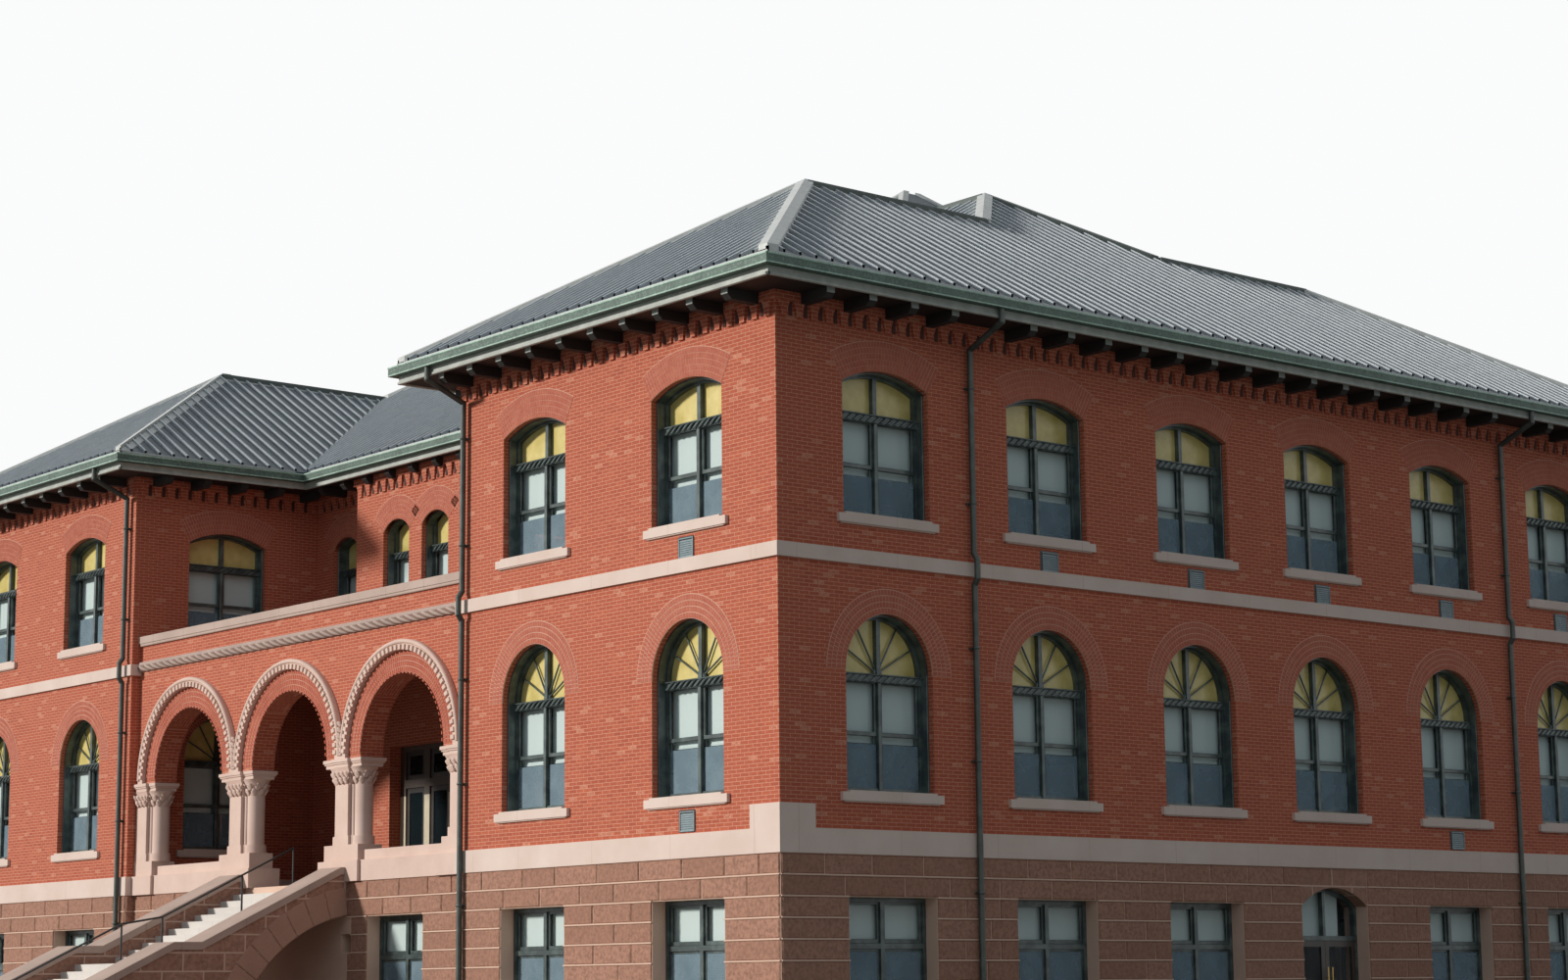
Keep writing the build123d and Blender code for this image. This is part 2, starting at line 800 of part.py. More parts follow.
def widened(place, extra):
    """Pier span widened by an overlap, but not into a wing's wall."""
    x0, x1 = pier_span(place)
    return max(x0 - extra, -court_half), min(x1 + extra, court_half)


supports = (-court_half, -arch_pitch / 2, arch_pitch / 2, court_half)


def write_pedestals():
    pedestals = []
    for place in supports:
        x0, x1 = widened(place, pedestal_overlap)
        y0, y1 = porch_face - pedestal_overlap, porch_face + porch_wall + pedestal_overlap
        foot = box(x0, x1, y0, y1, basement_top, brick_bottom)
        x0, x1 = widened(place, 0)
        step = box(x0, x1, porch_face - parapet_setback / 2, porch_face + porch_wall, brick_bottom, pedestal_level)
        pedestals.append(foot + step)
    write("porch_pedestals", pedestals)
    parapets = []
    for side in (-1, 1):
        x0 = side * (arch_pitch / 2 + pier_width / 2 + pedestal_overlap + masonry_joint)
        x1 = side * (court_half - end_reach - pedestal_overlap - masonry_joint)
        front = porch_face - band_projection
        low_part = box(x0, x1, front, porch_face + porch_wall, basement_top, brick_bottom)
        back = porch_face + porch_wall - parapet_setback
        high_part = box(x0, x1, porch_face + parapet_setback, back, brick_bottom, basement_top + parapet_top)
        parapets.append(low_part + high_part)
    write("porch_parapets", parapets)


def shaft_places(place):
    """Places in x of a support's pilaster and of its round columns."""
    if abs(place) < arch_pitch:
        return place, (place - column_offset, place + column_offset)
    side = math.copysign(1, place)
    pilaster = place - side * end_pilaster_place
    return pilaster, (pilaster - side * column_offset,)


def shaft_cluster(place):
    """Square pilaster with round columns beside it and thin colonnettes in the angles."""
    pilaster, columns = shaft_places(place)
    depth = porch_wall + 2 * pilaster_projection
    height = capital_foot - pedestal_level
    middle = pedestal_level + height / 2
    base = pedestal_level + column_base_height / 2
    cluster = Pos(pilaster, porch_middle, middle) * Box(pilaster_width, depth, height)
    plinth = pilaster_width + 2 * pilaster_projection
    cluster = cluster + Pos(pilaster, porch_middle, base) * Box(plinth, depth, column_base_height)
    for x in columns:
        lean = math.copysign(1, x - pilaster)
        cluster = cluster + Pos(x, porch_middle, middle) * Cylinder(column_diameter / 2, height)
        foot = Pos(x, porch_middle, base) * Cylinder(column_diameter / 2 + column_base_flare, column_base_height)
        cluster = cluster + foot
        for end in (-1, 1):
            cx = pilaster + lean * (pilaster_width / 2 + colonnette_diameter * 0.4)
            cy = porch_middle + end * (porch_wall / 2 - colonnette_diameter)
            thin = Pos(cx, cy, middle) * Cylinder(colonnette_diameter / 2, height)
            cluster = cluster + thin
            seat = Pos(cx, cy, base) * Cylinder(colonnette_diameter * 0.7, column_base_height)
            cluster = cluster + seat
    return cluster


def bell(x, half_foot, half_top_x, half_top_y, sides):
    """Capital that spreads from a shaft up to its abacus, with a round or a square foot."""
    foot = Plane.XY.offset(capital_foot) * Pos(x, porch_middle)
    neck = Plane.XY.offset(capital_foot + capital_height * 0.45) * Pos(x, porch_middle)
    top = Plane.XY.offset(capital_foot + capital_height) * Pos(x, porch_middle)
    if sides == "round":
        return loft([foot * Circle(half_foot), neck * Circle(half_foot * 1.12), top * Circle(half_top_y)])
    near = half_foot * 1.08
    return loft([foot * Rectangle(2 * half_foot, 2 * (half_top_y - impost_overlap)),
                 neck * Rectangle(2 * near, 2 * (half_top_y - impost_overlap * 0.8)),
                 top * Rectangle(2 * half_top_x, 2 * half_top_y)])


def capitals(place):
    """Square bell over a support's pilaster, joined to round bells over its columns."""
    pilaster, columns = shaft_places(place)
    half = pilaster_width / 2
    front = porch_wall / 2 + pilaster_projection
    cluster = bell(pilaster, half, half + impost_overlap / 2, front + impost_overlap / 2, "square")
    wing = box(-court_half, court_half, porch_face - porch_wall, porch_face + 2 * porch_wall, 0, wall_top)
    for x in columns:
        cluster = cluster + bell(x, column_diameter / 2, 0, porch_wall / 2 + impost_overlap / 3, "round")
    return cluster & wing


def impost(place):
    """Abacus that carries the arches: one slab, with a deeper one over the pilaster."""
    pilaster, columns = shaft_places(place)
    x0, x1 = widened(place, impost_overlap)
    low, high = impost_level - abacus_height, impost_level
    side_depth = porch_wall / 2 + impost_overlap / 2
    slab = box(x0, x1, porch_middle - side_depth, porch_middle + side_depth, low, high)
    half = pilaster_width / 2 + impost_overlap
    deep = porch_wall / 2 + pilaster_projection + impost_overlap
    head = box(pilaster - half, pilaster + half, porch_middle - deep, porch_middle + deep, low, high)
    return slab + (head & box(-court_half, court_half, 2 * porch_face, 0, low, high))


def write_columns():
    write("porch_columns", [shaft_cluster(place) for place in supports])
    write("porch_capitals", [capitals(place) for place in supports])
    write("porch_imposts", [impost(place) for place in supports])


def write_arcade():
    face = face_plane(0, porch_face, 0, -1)
    wall = wall_panel(face, -court_half, court_half, impost_level, basement_top + arcade_top, porch_wall)
    arch = ("round", 2 * arch_radius, impost_level - 1, arch_centre + arch_radius, 0.0)
    for k in (-1, 0, 1):
        wall = wall - cutter(face, k * arch_pitch, arch, porch_wall)
    write("porch_arcade", [wall])
    write("porch_hood_moulds", [hood_moulds(face)])


def hood_moulds(face):
    """Raised ring over each arch, carried straight down to the imposts."""
    outer_radius = arch_pitch / 2
    hoods = None
    for k in (-1, 0, 1):
        top = arch_centre + outer_radius
        ring = outline("round", 2 * outer_radius, impost_level, top)
        ring = ring - outline("round", 2 * (outer_radius - hood_width), impost_level - 1, top - hood_width)
        hood = extrude(face * Pos(k * arch_pitch, 0) * ring, amount=hood_projection)
        hoods = hood if hoods is None else hoods + hood
    return hoods


def write_porch_top():
    level = basement_top + rope_height
    length = court_width - 2 * belt_projection
    rope = Pos(0, porch_face - rope_standout, level) * Rot(0, 90, 0) * Cylinder(rope_diameter / 2, length)
    wall = box(-court_half, court_half, porch_face, 0, level - rope_diameter, level + rope_diameter)
    foot = level + rope_diameter / 2 - fillet_bite
    fillet = box(-length / 2, length / 2, porch_face - fillet_projection, porch_face, foot, foot + fillet_height)
    write("porch_string", [rope - wall + fillet])
    y0, y1 = porch_face - coping_overlap, porch_face + porch_wall + coping_overlap
    level = basement_top + arcade_top
    write("porch_coping", [box(-court_half, court_half, y0, y1, level, level + coping_height)])
    reach = court_half - belt_projection
    deck = box(-reach, reach, porch_face + porch_wall, -court_line - belt_projection, belt_bottom, belt_top)
    half_bay = bay_width / 2 + belt_projection
    front = -court_line - bay_projection - belt_projection
    write("porch_balcony_floor", [deck - box(-half_bay, half_bay, front, 0, belt_bottom - 1, belt_top + 1)])


def write_entrance():
    """Fixed screen of posts, transom and two doors in the wall behind the porch."""
    face = court_centre_face(-1, bay_projection)
    plane = face.offset(-window_reveal)
    low, high = basement_top, basement_top + entrance_height
    half = entrance_width / 2 - fit_gap
    rail = basement_top + entrance_door_height
    frame = Pos(0, (low + high) / 2) * Rectangle(2 * half, high - low)
    bay = (entrance_width - 6 * entrance_post) / 5
    lights = []
    for k in range(5):
        x = (k - 2) * (bay + entrance_post)
        top_light = (x, (rail + entrance_transom / 2 + high - entrance_post / 2) / 2,
                     bay, high - entrance_post / 2 - rail - entrance_transom / 2)
        low_light = (x, (low + rail - entrance_transom / 2) / 2, bay, rail - entrance_transom / 2 - low)
        lights += [top_light, low_light]
        frame = frame - Pos(x, top_light[1]) * Rectangle(bay, top_light[3])
        frame = frame - Pos(x, low_light[1]) * Rectangle(bay, low_light[3])
    write("entrance_screen", [extrude(plane * frame, amount=-frame_depth)])
    leaves = []
    for k, (x, y, width, height) in enumerate(lights):
        sheet = Pos(x, y) * Rectangle(width - 2 * fit_gap, height - 2 * fit_gap)
        opening = Pos(x, y) * Rectangle(width - 2 * door_stile, height - 2 * door_stile)
        leaf = sheet - opening
        leaves.append(extrude(plane.offset(-frame_depth / 3) * leaf, amount=-door_leaf_thickness))
    write("entrance_doors", leaves)
    panes = []
    for x, y, width, height in lights:
        pane = Pos(x, y) * Rectangle(width - 2 * door_stile - 2 * fit_gap, height - 2 * door_stile - 2 * fit_gap)
        panes.append(extrude(plane.offset(-frame_depth / 3 - door_leaf_thickness / 3) * pane,
                             amount=-door_glass_thickness))
    write("entrance_glass", panes)


# Front stair: two flights down from the middle arch, between cheek walls over one arch
landing_riser = riser_count - upper_risers
upper_run = (upper_risers - 1) * going
lower_run = (landing_riser - 1) * going
stair_foot = porch_face - upper_run - landing_length - lower_run


def tread_front(k):
    """Front edge of the k-th step, counted up from the ground."""
    if k > landing_riser:
        return porch_face - (riser_count - k) * going
    return stair_foot + (k - 1) * going


def tread_back(k):
    return tread_front(k) + (landing_length if k == landing_riser else going)


def write_treads():
    treads = []
    half = stair_width / 2
    for k in range(1, riser_count):
        back = tread_back(k) - masonry_joint
        treads.append(box(-half, half, tread_front(k), back, (k - 1) * riser, k * riser))
    write("stair_treads", treads)


def side_profile(points, half):
    """Solid with an outline in y and z, centred across the stair."""
    return extrude(Plane.YZ * make_face(Polyline(*points, close=True)), amount=half, both=True)


def cheek_line(rise):
    """Points of a line above the nosings of both flights, with level stretches, from the porch down."""
    slope = riser / going
    top = basement_top + cheek_top - (cheek_rise - rise)
    start = porch_face - (basement_top + rise - top) / slope
    landing = landing_riser * riser + rise
    upper_end = porch_face - upper_risers * going
    lower_start = porch_face - upper_run - landing_length
    foot = riser + rise
    points = [(porch_face, top), (start, top), (upper_end, landing), (lower_start, landing), (stair_foot, foot)]
    return points + [(stair_foot - newel_length, foot)]


def write_stair_body():
    """Masonry under the steps with its cheek walls, and the arch through it next to the porch."""
    steps = [(porch_face, 0), (porch_face, (riser_count - 2) * riser)]
    for k in range(riser_count - 1, 1, -1):
        steps.append((tread_front(k), (k - 1) * riser))
        steps.append((tread_front(k), (k - 2) * riser))
    body = side_profile(steps, stair_width / 2)
    outer = stair_width / 2 + cheek_width
    line = cheek_line(cheek_rise - stair_coping_height)
    cheek = side_profile([(porch_face, 0)] + line + [(stair_foot - newel_length, 0)], outer)
    gap = stair_width / 2
    cheek = cheek - box(-gap, gap, stair_foot - 2 * newel_length, 0, -1, basement_top * 2)
    arch_line = ThreePointArc((porch_face, basement_top - arch_crown_drop),
                              (porch_face - arch_haunch_out, basement_top - arch_haunch_drop),
                              (porch_face - arch_reach, basement_top - arch_spring_drop))
    foot_line = Polyline((porch_face - arch_reach, basement_top - arch_spring_drop), (porch_face - arch_reach, 0),
                         (porch_face, 0), (porch_face, basement_top - arch_crown_drop))
    arch = extrude(Plane.YZ * make_face(arch_line + foot_line), amount=2 * outer, both=True)
    pedestals = porch_zone(pedestal_overlap, basement_top, basement_top * 2)
    write("stair_body", [body + cheek - arch - pedestals])
    top = cheek_line(cheek_rise)
    low = cheek_line(cheek_rise - stair_coping_height)
    reach = cheek_width / 2 + stair_coping_overlap
    coping = side_profile(top + low[::-1], reach)
    middle = stair_width / 2 + cheek_width / 2
    write("stair_copings", [Pos(side * middle, 0, 0) * coping - pedestals for side in (-1, 1)])


def write_handrail():
    """Rail down the middle of the stair on round posts."""
    stations = [(porch_face + 0.5 * going, riser_count), (tread_front(riser_count - 4) + going / 2, riser_count - 4),
                (tread_front(landing_riser + 1) + going / 2, landing_riser + 1),
                (tread_front(landing_riser) + going / 2, landing_riser),
                (tread_front(landing_riser // 2) + going / 2, landing_riser // 2), (tread_front(1) + going / 2, 1)]
    heads = [(0, y, k * riser + rail_height) for y, k in stations]
    rail = pipe_run(heads, rail_diameter)
    for y, k in stations:
        rail = rail + bar((0, y, k * riser), (0, y, k * riser + rail_height), rail_diameter)
    for head in (heads[0], heads[-1]):
        rail = rail + Pos(*head) * Sphere(rail_diameter / 2 + elbow_swell)
    write("stair_handrail", [rail])


# Side door: two glazed leaves hung on the jambs of a frame with a fanlight
def door_plane():
    return face_plane(half_width - window_reveal, door_bay, 1, 0)


def hinge_heights():
    low = door_step + door_floor_gap
    high = door_transom_height - door_transom_depth / 2 - door_clearance
    return [low + (high - low) * share for share in (0.1, 0.5, 0.9)]


def hinge_half(side, level, on_frame):
    """Knuckle and plate of one half of a hinge, on the jamb or on the leaf."""
    plane = door_plane()
    pin = side * (door_width / 2 - door_frame_width - door_clearance / 2)
    low = level - hinge_length if on_frame else level + fit_gap
    centre = plane.from_local_coords((pin, low + hinge_length / 2, hinge_diameter / 2))
    knuckle = Pos(*centre) * Cylinder(hinge_diameter / 2, hinge_length)
    toward = side if on_frame else -side
    plate = Pos(pin + toward * hinge_leaf / 2, low + hinge_length / 2) * Rectangle(hinge_leaf, hinge_length)
    return knuckle + extrude(plane * plate, amount=hinge_plate)


def write_door_frame():
    plane = door_plane()
    kind, width, low, high, rise = door_opening
    outer = outline(kind, width, door_step, high, rise, fit_gap)
    inner = outline(kind, width, 0, high, rise, door_frame_width)
    transom = Pos(0, door_transom_height) * Rectangle(width, door_transom_depth) & outer
    bar_height = high - door_transom_height
    mullion = Pos(0, door_transom_height + bar_height / 2) * Rectangle(door_frame_width, bar_height) & outer
    frame = extrude(plane * ((outer - inner) + transom + mullion), amount=-frame_depth)
    for side in (-1, 1):
        for level in hinge_heights():
            frame = frame + hinge_half(side, level, True)
    write("side_door_frame", [frame])
    fan = outline(kind, width, door_transom_height - door_frame_width / 2, high, rise, door_frame_width / 2)
    write("side_door_fanlight", [extrude(plane.offset(-frame_depth) * fan, amount=-glass_thickness)])


def leaf_size():
    width = (door_width - 2 * door_frame_width - 3 * door_clearance) / 2
    low = door_step + door_floor_gap
    high = door_transom_height - door_transom_depth / 2 - door_clearance
    return width, low, high


def write_door_leaf(side, name):
    """Stiles and rails round one tall pane, with a pull bar and its halves of the hinges."""
    width, low, high = leaf_size()
    plane = door_plane()
    middle = side * (width + door_clearance) / 2
    pane_low, pane_high = low + door_bottom_rail, high - door_stile
    sheet = Pos(middle, (low + high) / 2) * Rectangle(width, high - low)
    hole = Pos(middle, (pane_low + pane_high) / 2) * Rectangle(width - 2 * door_stile, pane_high - pane_low)
    leaf = extrude(plane * (sheet - hole), amount=-door_leaf_thickness)
    for level in hinge_heights():
        leaf = leaf + hinge_half(side, level, False)
    grip = side * (door_clearance / 2 + door_stile / 2)
    centre = door_step + pull_centre_height
    ends = [centre - pull_height / 2, centre + pull_height / 2]
    head = [plane.from_local_coords((grip, z, pull_standoff)) for z in ends]
    leaf = leaf + bar(head[0], head[1], pull_diameter)
    for z in (ends[0] + pull_diameter, ends[1] - pull_diameter):
        inner = plane.from_local_coords((grip, z, -door_leaf_thickness / 2))
        outer = plane.from_local_coords((grip, z, pull_standoff))
        leaf = leaf + bar(inner, outer, pull_stem_diameter)
    write(f"side_door_{name}_leaf", [leaf])
    size = (width - 2 * door_stile - 2 * fit_gap, pane_high - pane_low - 2 * fit_gap)
    pane = plane.offset((door_glass_thickness - door_leaf_thickness) / 2) * Pos(middle, (pane_low + pane_high) / 2)
    write(f"side_door_{name}_glass", [extrude(pane * Rectangle(*size), amount=-door_glass_thickness)])


write_basement()
write_storey("lower", lower_windows, brick_bottom, belt_bottom)
write_storey("upper", upper_windows, belt_top, wall_top)
write_band()
write_belt()
write_corbels()
write_sills()
write_windows()
write_floor("basement_floor", basement_floor_thickness, basement_floor_thickness, stone_wall)
write_floor("lower_floor", basement_top, floor_thickness, stone_wall)
write_floor("upper_floor", belt_top, floor_thickness, brick_wall)
write_floor("attic_floor", wall_top, floor_thickness, brick_wall)
write_roof()
write_eaves()
write_downspouts()
write_porch_base()
write_pedestals()
write_columns()
write_arcade()
write_porch_top()
write_entrance()
write_treads()
write_stair_body()
write_handrail()
write_door_frame()
write_door_leaf(-1, "left")
write_door_leaf(1, "right")
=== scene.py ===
import math
import random
from collections import namedtuple

import bmesh
import bpy
from mathutils import Matrix, Vector


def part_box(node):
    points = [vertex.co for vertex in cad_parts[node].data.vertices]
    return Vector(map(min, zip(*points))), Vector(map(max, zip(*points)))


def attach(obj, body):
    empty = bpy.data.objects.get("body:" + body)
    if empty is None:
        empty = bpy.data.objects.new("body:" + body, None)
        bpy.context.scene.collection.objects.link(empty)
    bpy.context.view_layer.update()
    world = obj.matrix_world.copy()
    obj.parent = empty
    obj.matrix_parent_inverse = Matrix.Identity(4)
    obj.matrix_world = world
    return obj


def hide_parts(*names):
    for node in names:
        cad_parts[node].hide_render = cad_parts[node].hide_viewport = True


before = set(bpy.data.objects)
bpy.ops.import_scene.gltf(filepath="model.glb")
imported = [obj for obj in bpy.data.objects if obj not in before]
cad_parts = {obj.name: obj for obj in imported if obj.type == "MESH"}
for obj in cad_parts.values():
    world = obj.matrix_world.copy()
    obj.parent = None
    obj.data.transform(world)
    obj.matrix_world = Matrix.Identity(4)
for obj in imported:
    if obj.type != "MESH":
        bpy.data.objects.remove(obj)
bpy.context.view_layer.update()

# Metres, in the frame of the CAD: x to the right, y to the back, z up, the entrance court facing -y.
HALF_WIDTH = 16.335
HALF_LENGTH = 12.28
COURT_HALF = 6.705
COURT_LINE = 7.47
WING_MIDDLE = 11.52
WING_WIDTH = 9.63
BAY_HALF = 4.095
BAY_LINE = 7.97
BASEMENT_TOP = 3.916
CORBEL_LOW = 13.061
PORCH_FACE = -12.065
PORCH_MIDDLE = PORCH_FACE + 0.27
STRING_HALF, COPING_HALF = 6.645, 6.64
ENTRANCE_TRANSOM = 6.05
ARCH_PITCH = 4.345
ARCH_CENTRE = 6.478
ARCH_RADIUS = 1.524
PIER_MIDDLE = 2.1725
BRICK_COURSE = 0.0678
BRICK_LENGTH = 0.225
STONE_COURSE = 0.356
STONE_JOINT = 0.022
STONE_LENGTH = 1.15
STONE_COURSES = 11
BASEMENT_LEVELS = 1.64, 2.339, 2.429, 3.13
BASEMENT_OPENING = 1.534, 3.204

# Roof: noses of the slopes at the eaves, how far each slope runs in plan, where the ridges end, the faces of the
# gutters and the sawn tips of the brackets.
ROOF_PITCH = 0.59
VENT_PITCH = 0.8
SEAM_PITCH = 0.356
NOSE_LEVEL = 13.877
NOSE_X, NOSE_Y = 17.235, 13.18
COURT_NOSE_X, COURT_NOSE_Y = 5.805, 8.37
WING_RUN = 5.715
WING_RIDGE_END = 7.465
MAIN_RUN = 2.655
MAIN_RIDGE_END = 8.865
GUTTER_X, GUTTER_Y = 17.365, 13.31
TIP_X, TIP_Y = 17.088, 13.033
COURT_GUTTER_X, COURT_GUTTER_Y = 5.675, 8.5

SIDE_BAYS = (-9.772, -5.810, -1.855, 1.855, 5.810, 9.772)
DOOR_BAY = 1.855
WING_BAYS = (-2.325, 2.325)
COURT_BAYS = (-9.875, 9.875)
REAR_COURT_BAYS = (-4.25, 0, 4.25)
PORCH_BASE_BAYS = (-4.19, 4.19)

# The two ends of a wing: the sign of y and the turn of a wall that faces that way.
ENDS = (-1, 0), (1, 180)


# Materials
def linear(code):
    """Linear colour of an sRGB hex code."""
    channels = [int(code[i:i + 2], 16) / 255 for i in (0, 2, 4)]
    return [c / 12.92 if c <= 0.04045 else ((c + 0.055) / 1.055) ** 2.4 for c in channels] + [1]


def add(tree, kind, values={}, links={}, **settings):
    """A node with its settings, the values of its sockets and the links into them."""
    made = tree.nodes.new("ShaderNode" + kind)
    for key, value in settings.items():
        setattr(made, key, value)
    for socket, value in values.items():
        made.inputs[socket].default_value = value
    for socket, source in links.items():
        tree.links.new(source, made.inputs[socket])
    return made


def new_material(name, roughness, metallic=0.0, alpha=1.0):
    """A material with the constant values of its shader set, its node tree, and the place on the object."""
    material = bpy.data.materials.new(name)
    material.use_nodes = True
    tree = material.node_tree
    for key, value in (("Roughness", roughness), ("Metallic", metallic), ("Alpha", alpha)):
        tree.nodes["Principled BSDF"].inputs[key].default_value = value
    return material, tree, add(tree, "TexCoord").outputs["Object"]


def mix(tree, factor, one, two):
    """Colour between two, each the socket of a colour or a hex code."""
    node = add(tree, "Mix", {}, {0: factor}, data_type="RGBA")
    for socket, colour in ((6, one), (7, two)):
        if isinstance(colour, str):
            node.inputs[socket].default_value = linear(colour)
        else:
            tree.links.new(colour, node.inputs[socket])
    return node.outputs[2]


def noise(tree, vector, size, detail=3.0, roughness=0.55):
    """Noise whose blotches are about the given size in metres."""
    return add(tree, "TexNoise", {"Scale": 1 / size, "Detail": detail, "Roughness": roughness},
               {"Vector": vector}).outputs["Fac"]


def ramp(tree, source, low, high):
    """Stretches a value so that low becomes 0 and high becomes 1."""
    return add(tree, "MapRange", {"From Min": low, "From Max": high}, {"Value": source}).outputs["Result"]


def coat(material, colour, height, distance, strength):
    """Gives a material its colour, and its relief of the given depth in metres."""
    tree = material.node_tree
    shader = tree.nodes["Principled BSDF"]
    relief = add(tree, "Bump", {"Distance": distance, "Strength": strength}, {"Height": height})
    tree.links.new(colour, shader.inputs["Base Color"])
    tree.links.new(relief.outputs["Normal"], shader.inputs["Normal"])
    return material


def maths(tree, operation, sources, values=()):
    """One sum on sockets, which come first, and on constant values after them."""
    count = len(sources)
    return add(tree, "Math", {count + i: value for i, value in enumerate(values)},
               dict(enumerate(sources)), operation=operation).outputs[0]


def wall_place(tree, shift=(0.0, 0.0)):
    """Place on a face: along the wall and up it, or x and y on a level face."""
    coordinate = add(tree, "TexCoord")
    place = add(tree, "SeparateXYZ", {}, {"Vector": coordinate.outputs["Object"]})
    facing = add(tree, "SeparateXYZ", {}, {"Vector": coordinate.outputs["Normal"]})
    towards_x, level = (maths(tree, "GREATER_THAN", [maths(tree, "ABSOLUTE", [facing.outputs[axis]])], [0.75])
                        for axis in ("X", "Z"))
    along = add(tree, "Mix", {}, {0: towards_x, 2: place.outputs["X"], 3: place.outputs["Y"]}, data_type="FLOAT")
    up = add(tree, "Mix", {}, {0: level, 2: place.outputs["Z"], 3: place.outputs["Y"]}, data_type="FLOAT")
    both = add(tree, "CombineXYZ", {}, {"X": along.outputs[0], "Y": up.outputs[0]})
    return add(tree, "Mapping", {"Location": (shift[0], shift[1], 0)}, {"Vector": both.outputs[0]}).outputs[0]


def courses(tree, vector, length, height, joint, offset=0.5):
    """Brick pattern: its three outputs mix two colours by block, and 1 in the joints."""
    return add(tree, "TexBrick",
               {"Color1": (0, 0, 0, 1), "Color2": (1, 1, 1, 1), "Mortar": (0.5, 0.5, 0.5, 1), "Scale": 1.0,
                "Mortar Size": joint / 2, "Mortar Smooth": 0.1, "Bias": 0.0,
                "Brick Width": length, "Row Height": height},
               {"Vector": vector}, offset=offset, offset_frequency=2, squash=1.0)


def pressed_brick():
    """Hard pressed brick, matt and dense, laid with thin pinkish joints that lighten it from afar."""
    material, tree, place = new_material("pressed_red_brick", 0.86)
    pattern = courses(tree, wall_place(tree), BRICK_LENGTH, BRICK_COURSE, 0.011)
    body = mix(tree, pattern.outputs["Color"], "A84E36", "C66A49")
    patch = ramp(tree, noise(tree, place, 1.6, 4), 0.35, 0.7)
    body = mix(tree, patch, body, "B85C40")
    glint = ramp(tree, pattern.outputs["Color"], 0.955, 0.965)
    body = mix(tree, glint, body, "D08C70")
    grain = ramp(tree, noise(tree, place, 0.03, 2), 0.3, 0.8)
    body = mix(tree, grain, body, "A04C35")
    inverse = add(tree, "Math", {0: 1.0}, {1: pattern.outputs["Fac"]}, operation="SUBTRACT").outputs[0]
    return coat(material, mix(tree, pattern.outputs["Fac"], body, "CF937A"), inverse, 0.004, 0.6)


def gauged_brick():
    """Single bricks cut for arches and teeth: one colour each, no drawn joints."""
    material, tree, place = new_material("gauged_orange_brick", 0.85)
    tone = ramp(tree, noise(tree, place, 0.16, 2), 0.35, 0.65)
    body = mix(tree, tone, "B5604A", "C87A60")
    grain = noise(tree, place, 0.02, 3)
    return coat(material, mix(tree, grain, body, "A85540"), grain, 0.002, 0.5)


def lime_mortar():
    """Pinkish mortar between the gauged bricks, flush and chalky."""
    material, tree, place = new_material("pinkish_lime_mortar", 0.95)
    grain = noise(tree, place, 0.02, 4)
    return coat(material, mix(tree, grain, "DDB09B", "C4927E"), grain, 0.002, 0.4)


def split_stone(name="split_faced_sandstone", low="9A7260", high="B58A76", joint="C9A795", length=1.2):
    """Sandstone split to a rough face, with painted shade in the hollows of the break, between raised pale joints
    that catch the light.
    """
    material, tree, place = new_material(name, 0.92)
    pattern = courses(tree, wall_place(tree), length, STONE_COURSE, 0.034)
    tint = mix(tree, pattern.outputs["Color"], low, high)
    blotch = ramp(tree, noise(tree, place, 0.5, 4), 0.3, 0.7)
    tint = mix(tree, blotch, tint, "A67C69")
    broken = noise(tree, place, 0.09, 6, 0.65)
    # Painted shade: the colour goes to 84604F where the split face lies lowest, in its hollows.
    dark = mix(tree, ramp(tree, broken, 0.25, 0.6), "84604F", tint)
    height = add(tree, "Mix", {3: 0.62}, {0: pattern.outputs["Fac"], 2: broken}, data_type="FLOAT").outputs[0]
    return coat(material, mix(tree, pattern.outputs["Fac"], dark, joint), height, 0.03, 0.75)


def block_stone():
    """Single split-faced blocks: each has its own tone, with painted shade darkening the hollows of the break."""
    material, tree, place = new_material("split_faced_blocks", 0.92)
    tone = add(tree, "Attribute", attribute_name="tone").outputs["Fac"]
    body = mix(tree, tone, "9F7460", "AF826E")
    broken = noise(tree, place, 0.07, 6, 0.65)
    # Painted shade: the colour goes to 84604F in the hollows of the split face, where the relief is lowest.
    hollow_shade = ramp(tree, broken, 0.3, 0.6)
    return coat(material, mix(tree, hollow_shade, "84604F", body), broken, 0.02, 0.7)


def dressed_stone(name, base, shade, joint_length=0.0, fleck=0.02):
    """Sandstone rubbed smooth: fine grain and thin upright joints between long stones."""
    material, tree, place = new_material(name, 0.82)
    grain = noise(tree, place, fleck, 4)
    weather = ramp(tree, noise(tree, place, 0.9, 4), 0.35, 0.75)
    body = mix(tree, grain, base, shade)
    body = mix(tree, weather, body, base)
    if joint_length:
        pattern = courses(tree, wall_place(tree, (0.4, 30.0)), joint_length, 60.0, 0.014, 0.0)
        body = mix(tree, pattern.outputs["Fac"], body, shade)
    return coat(material, body, grain, 0.002, 0.35)


def painted(name, base, wear, roughness, size=0.25):
    """Oil paint over wood or iron: half gloss, a little chalked where the weather reaches."""
    material, tree, place = new_material(name, roughness)
    chalk = ramp(tree, noise(tree, place, size, 5), 0.42, 0.75)
    return coat(material, mix(tree, chalk, base, wear), noise(tree, place, 0.012, 3), 0.001, 0.3)


def sheet_metal(name, base, shade, streak, roughness, metallic):
    """Rolled roof sheet, dulled by rain, with faint streaks that run down from the seams."""
    material, tree, place = new_material(name, roughness, metallic)
    wide = add(tree, "Mapping", {"Scale": (1.0, 1.0, 0.25)}, {"Vector": place}).outputs[0]
    runs = ramp(tree, noise(tree, wide, 0.35, 5), 0.35, 0.7)
    body = mix(tree, runs, base, shade)
    spots = ramp(tree, noise(tree, place, 0.05, 3), 0.5, 0.8)
    return coat(material, mix(tree, spots, body, streak), noise(tree, place, 0.4, 2), 0.004, 0.3)


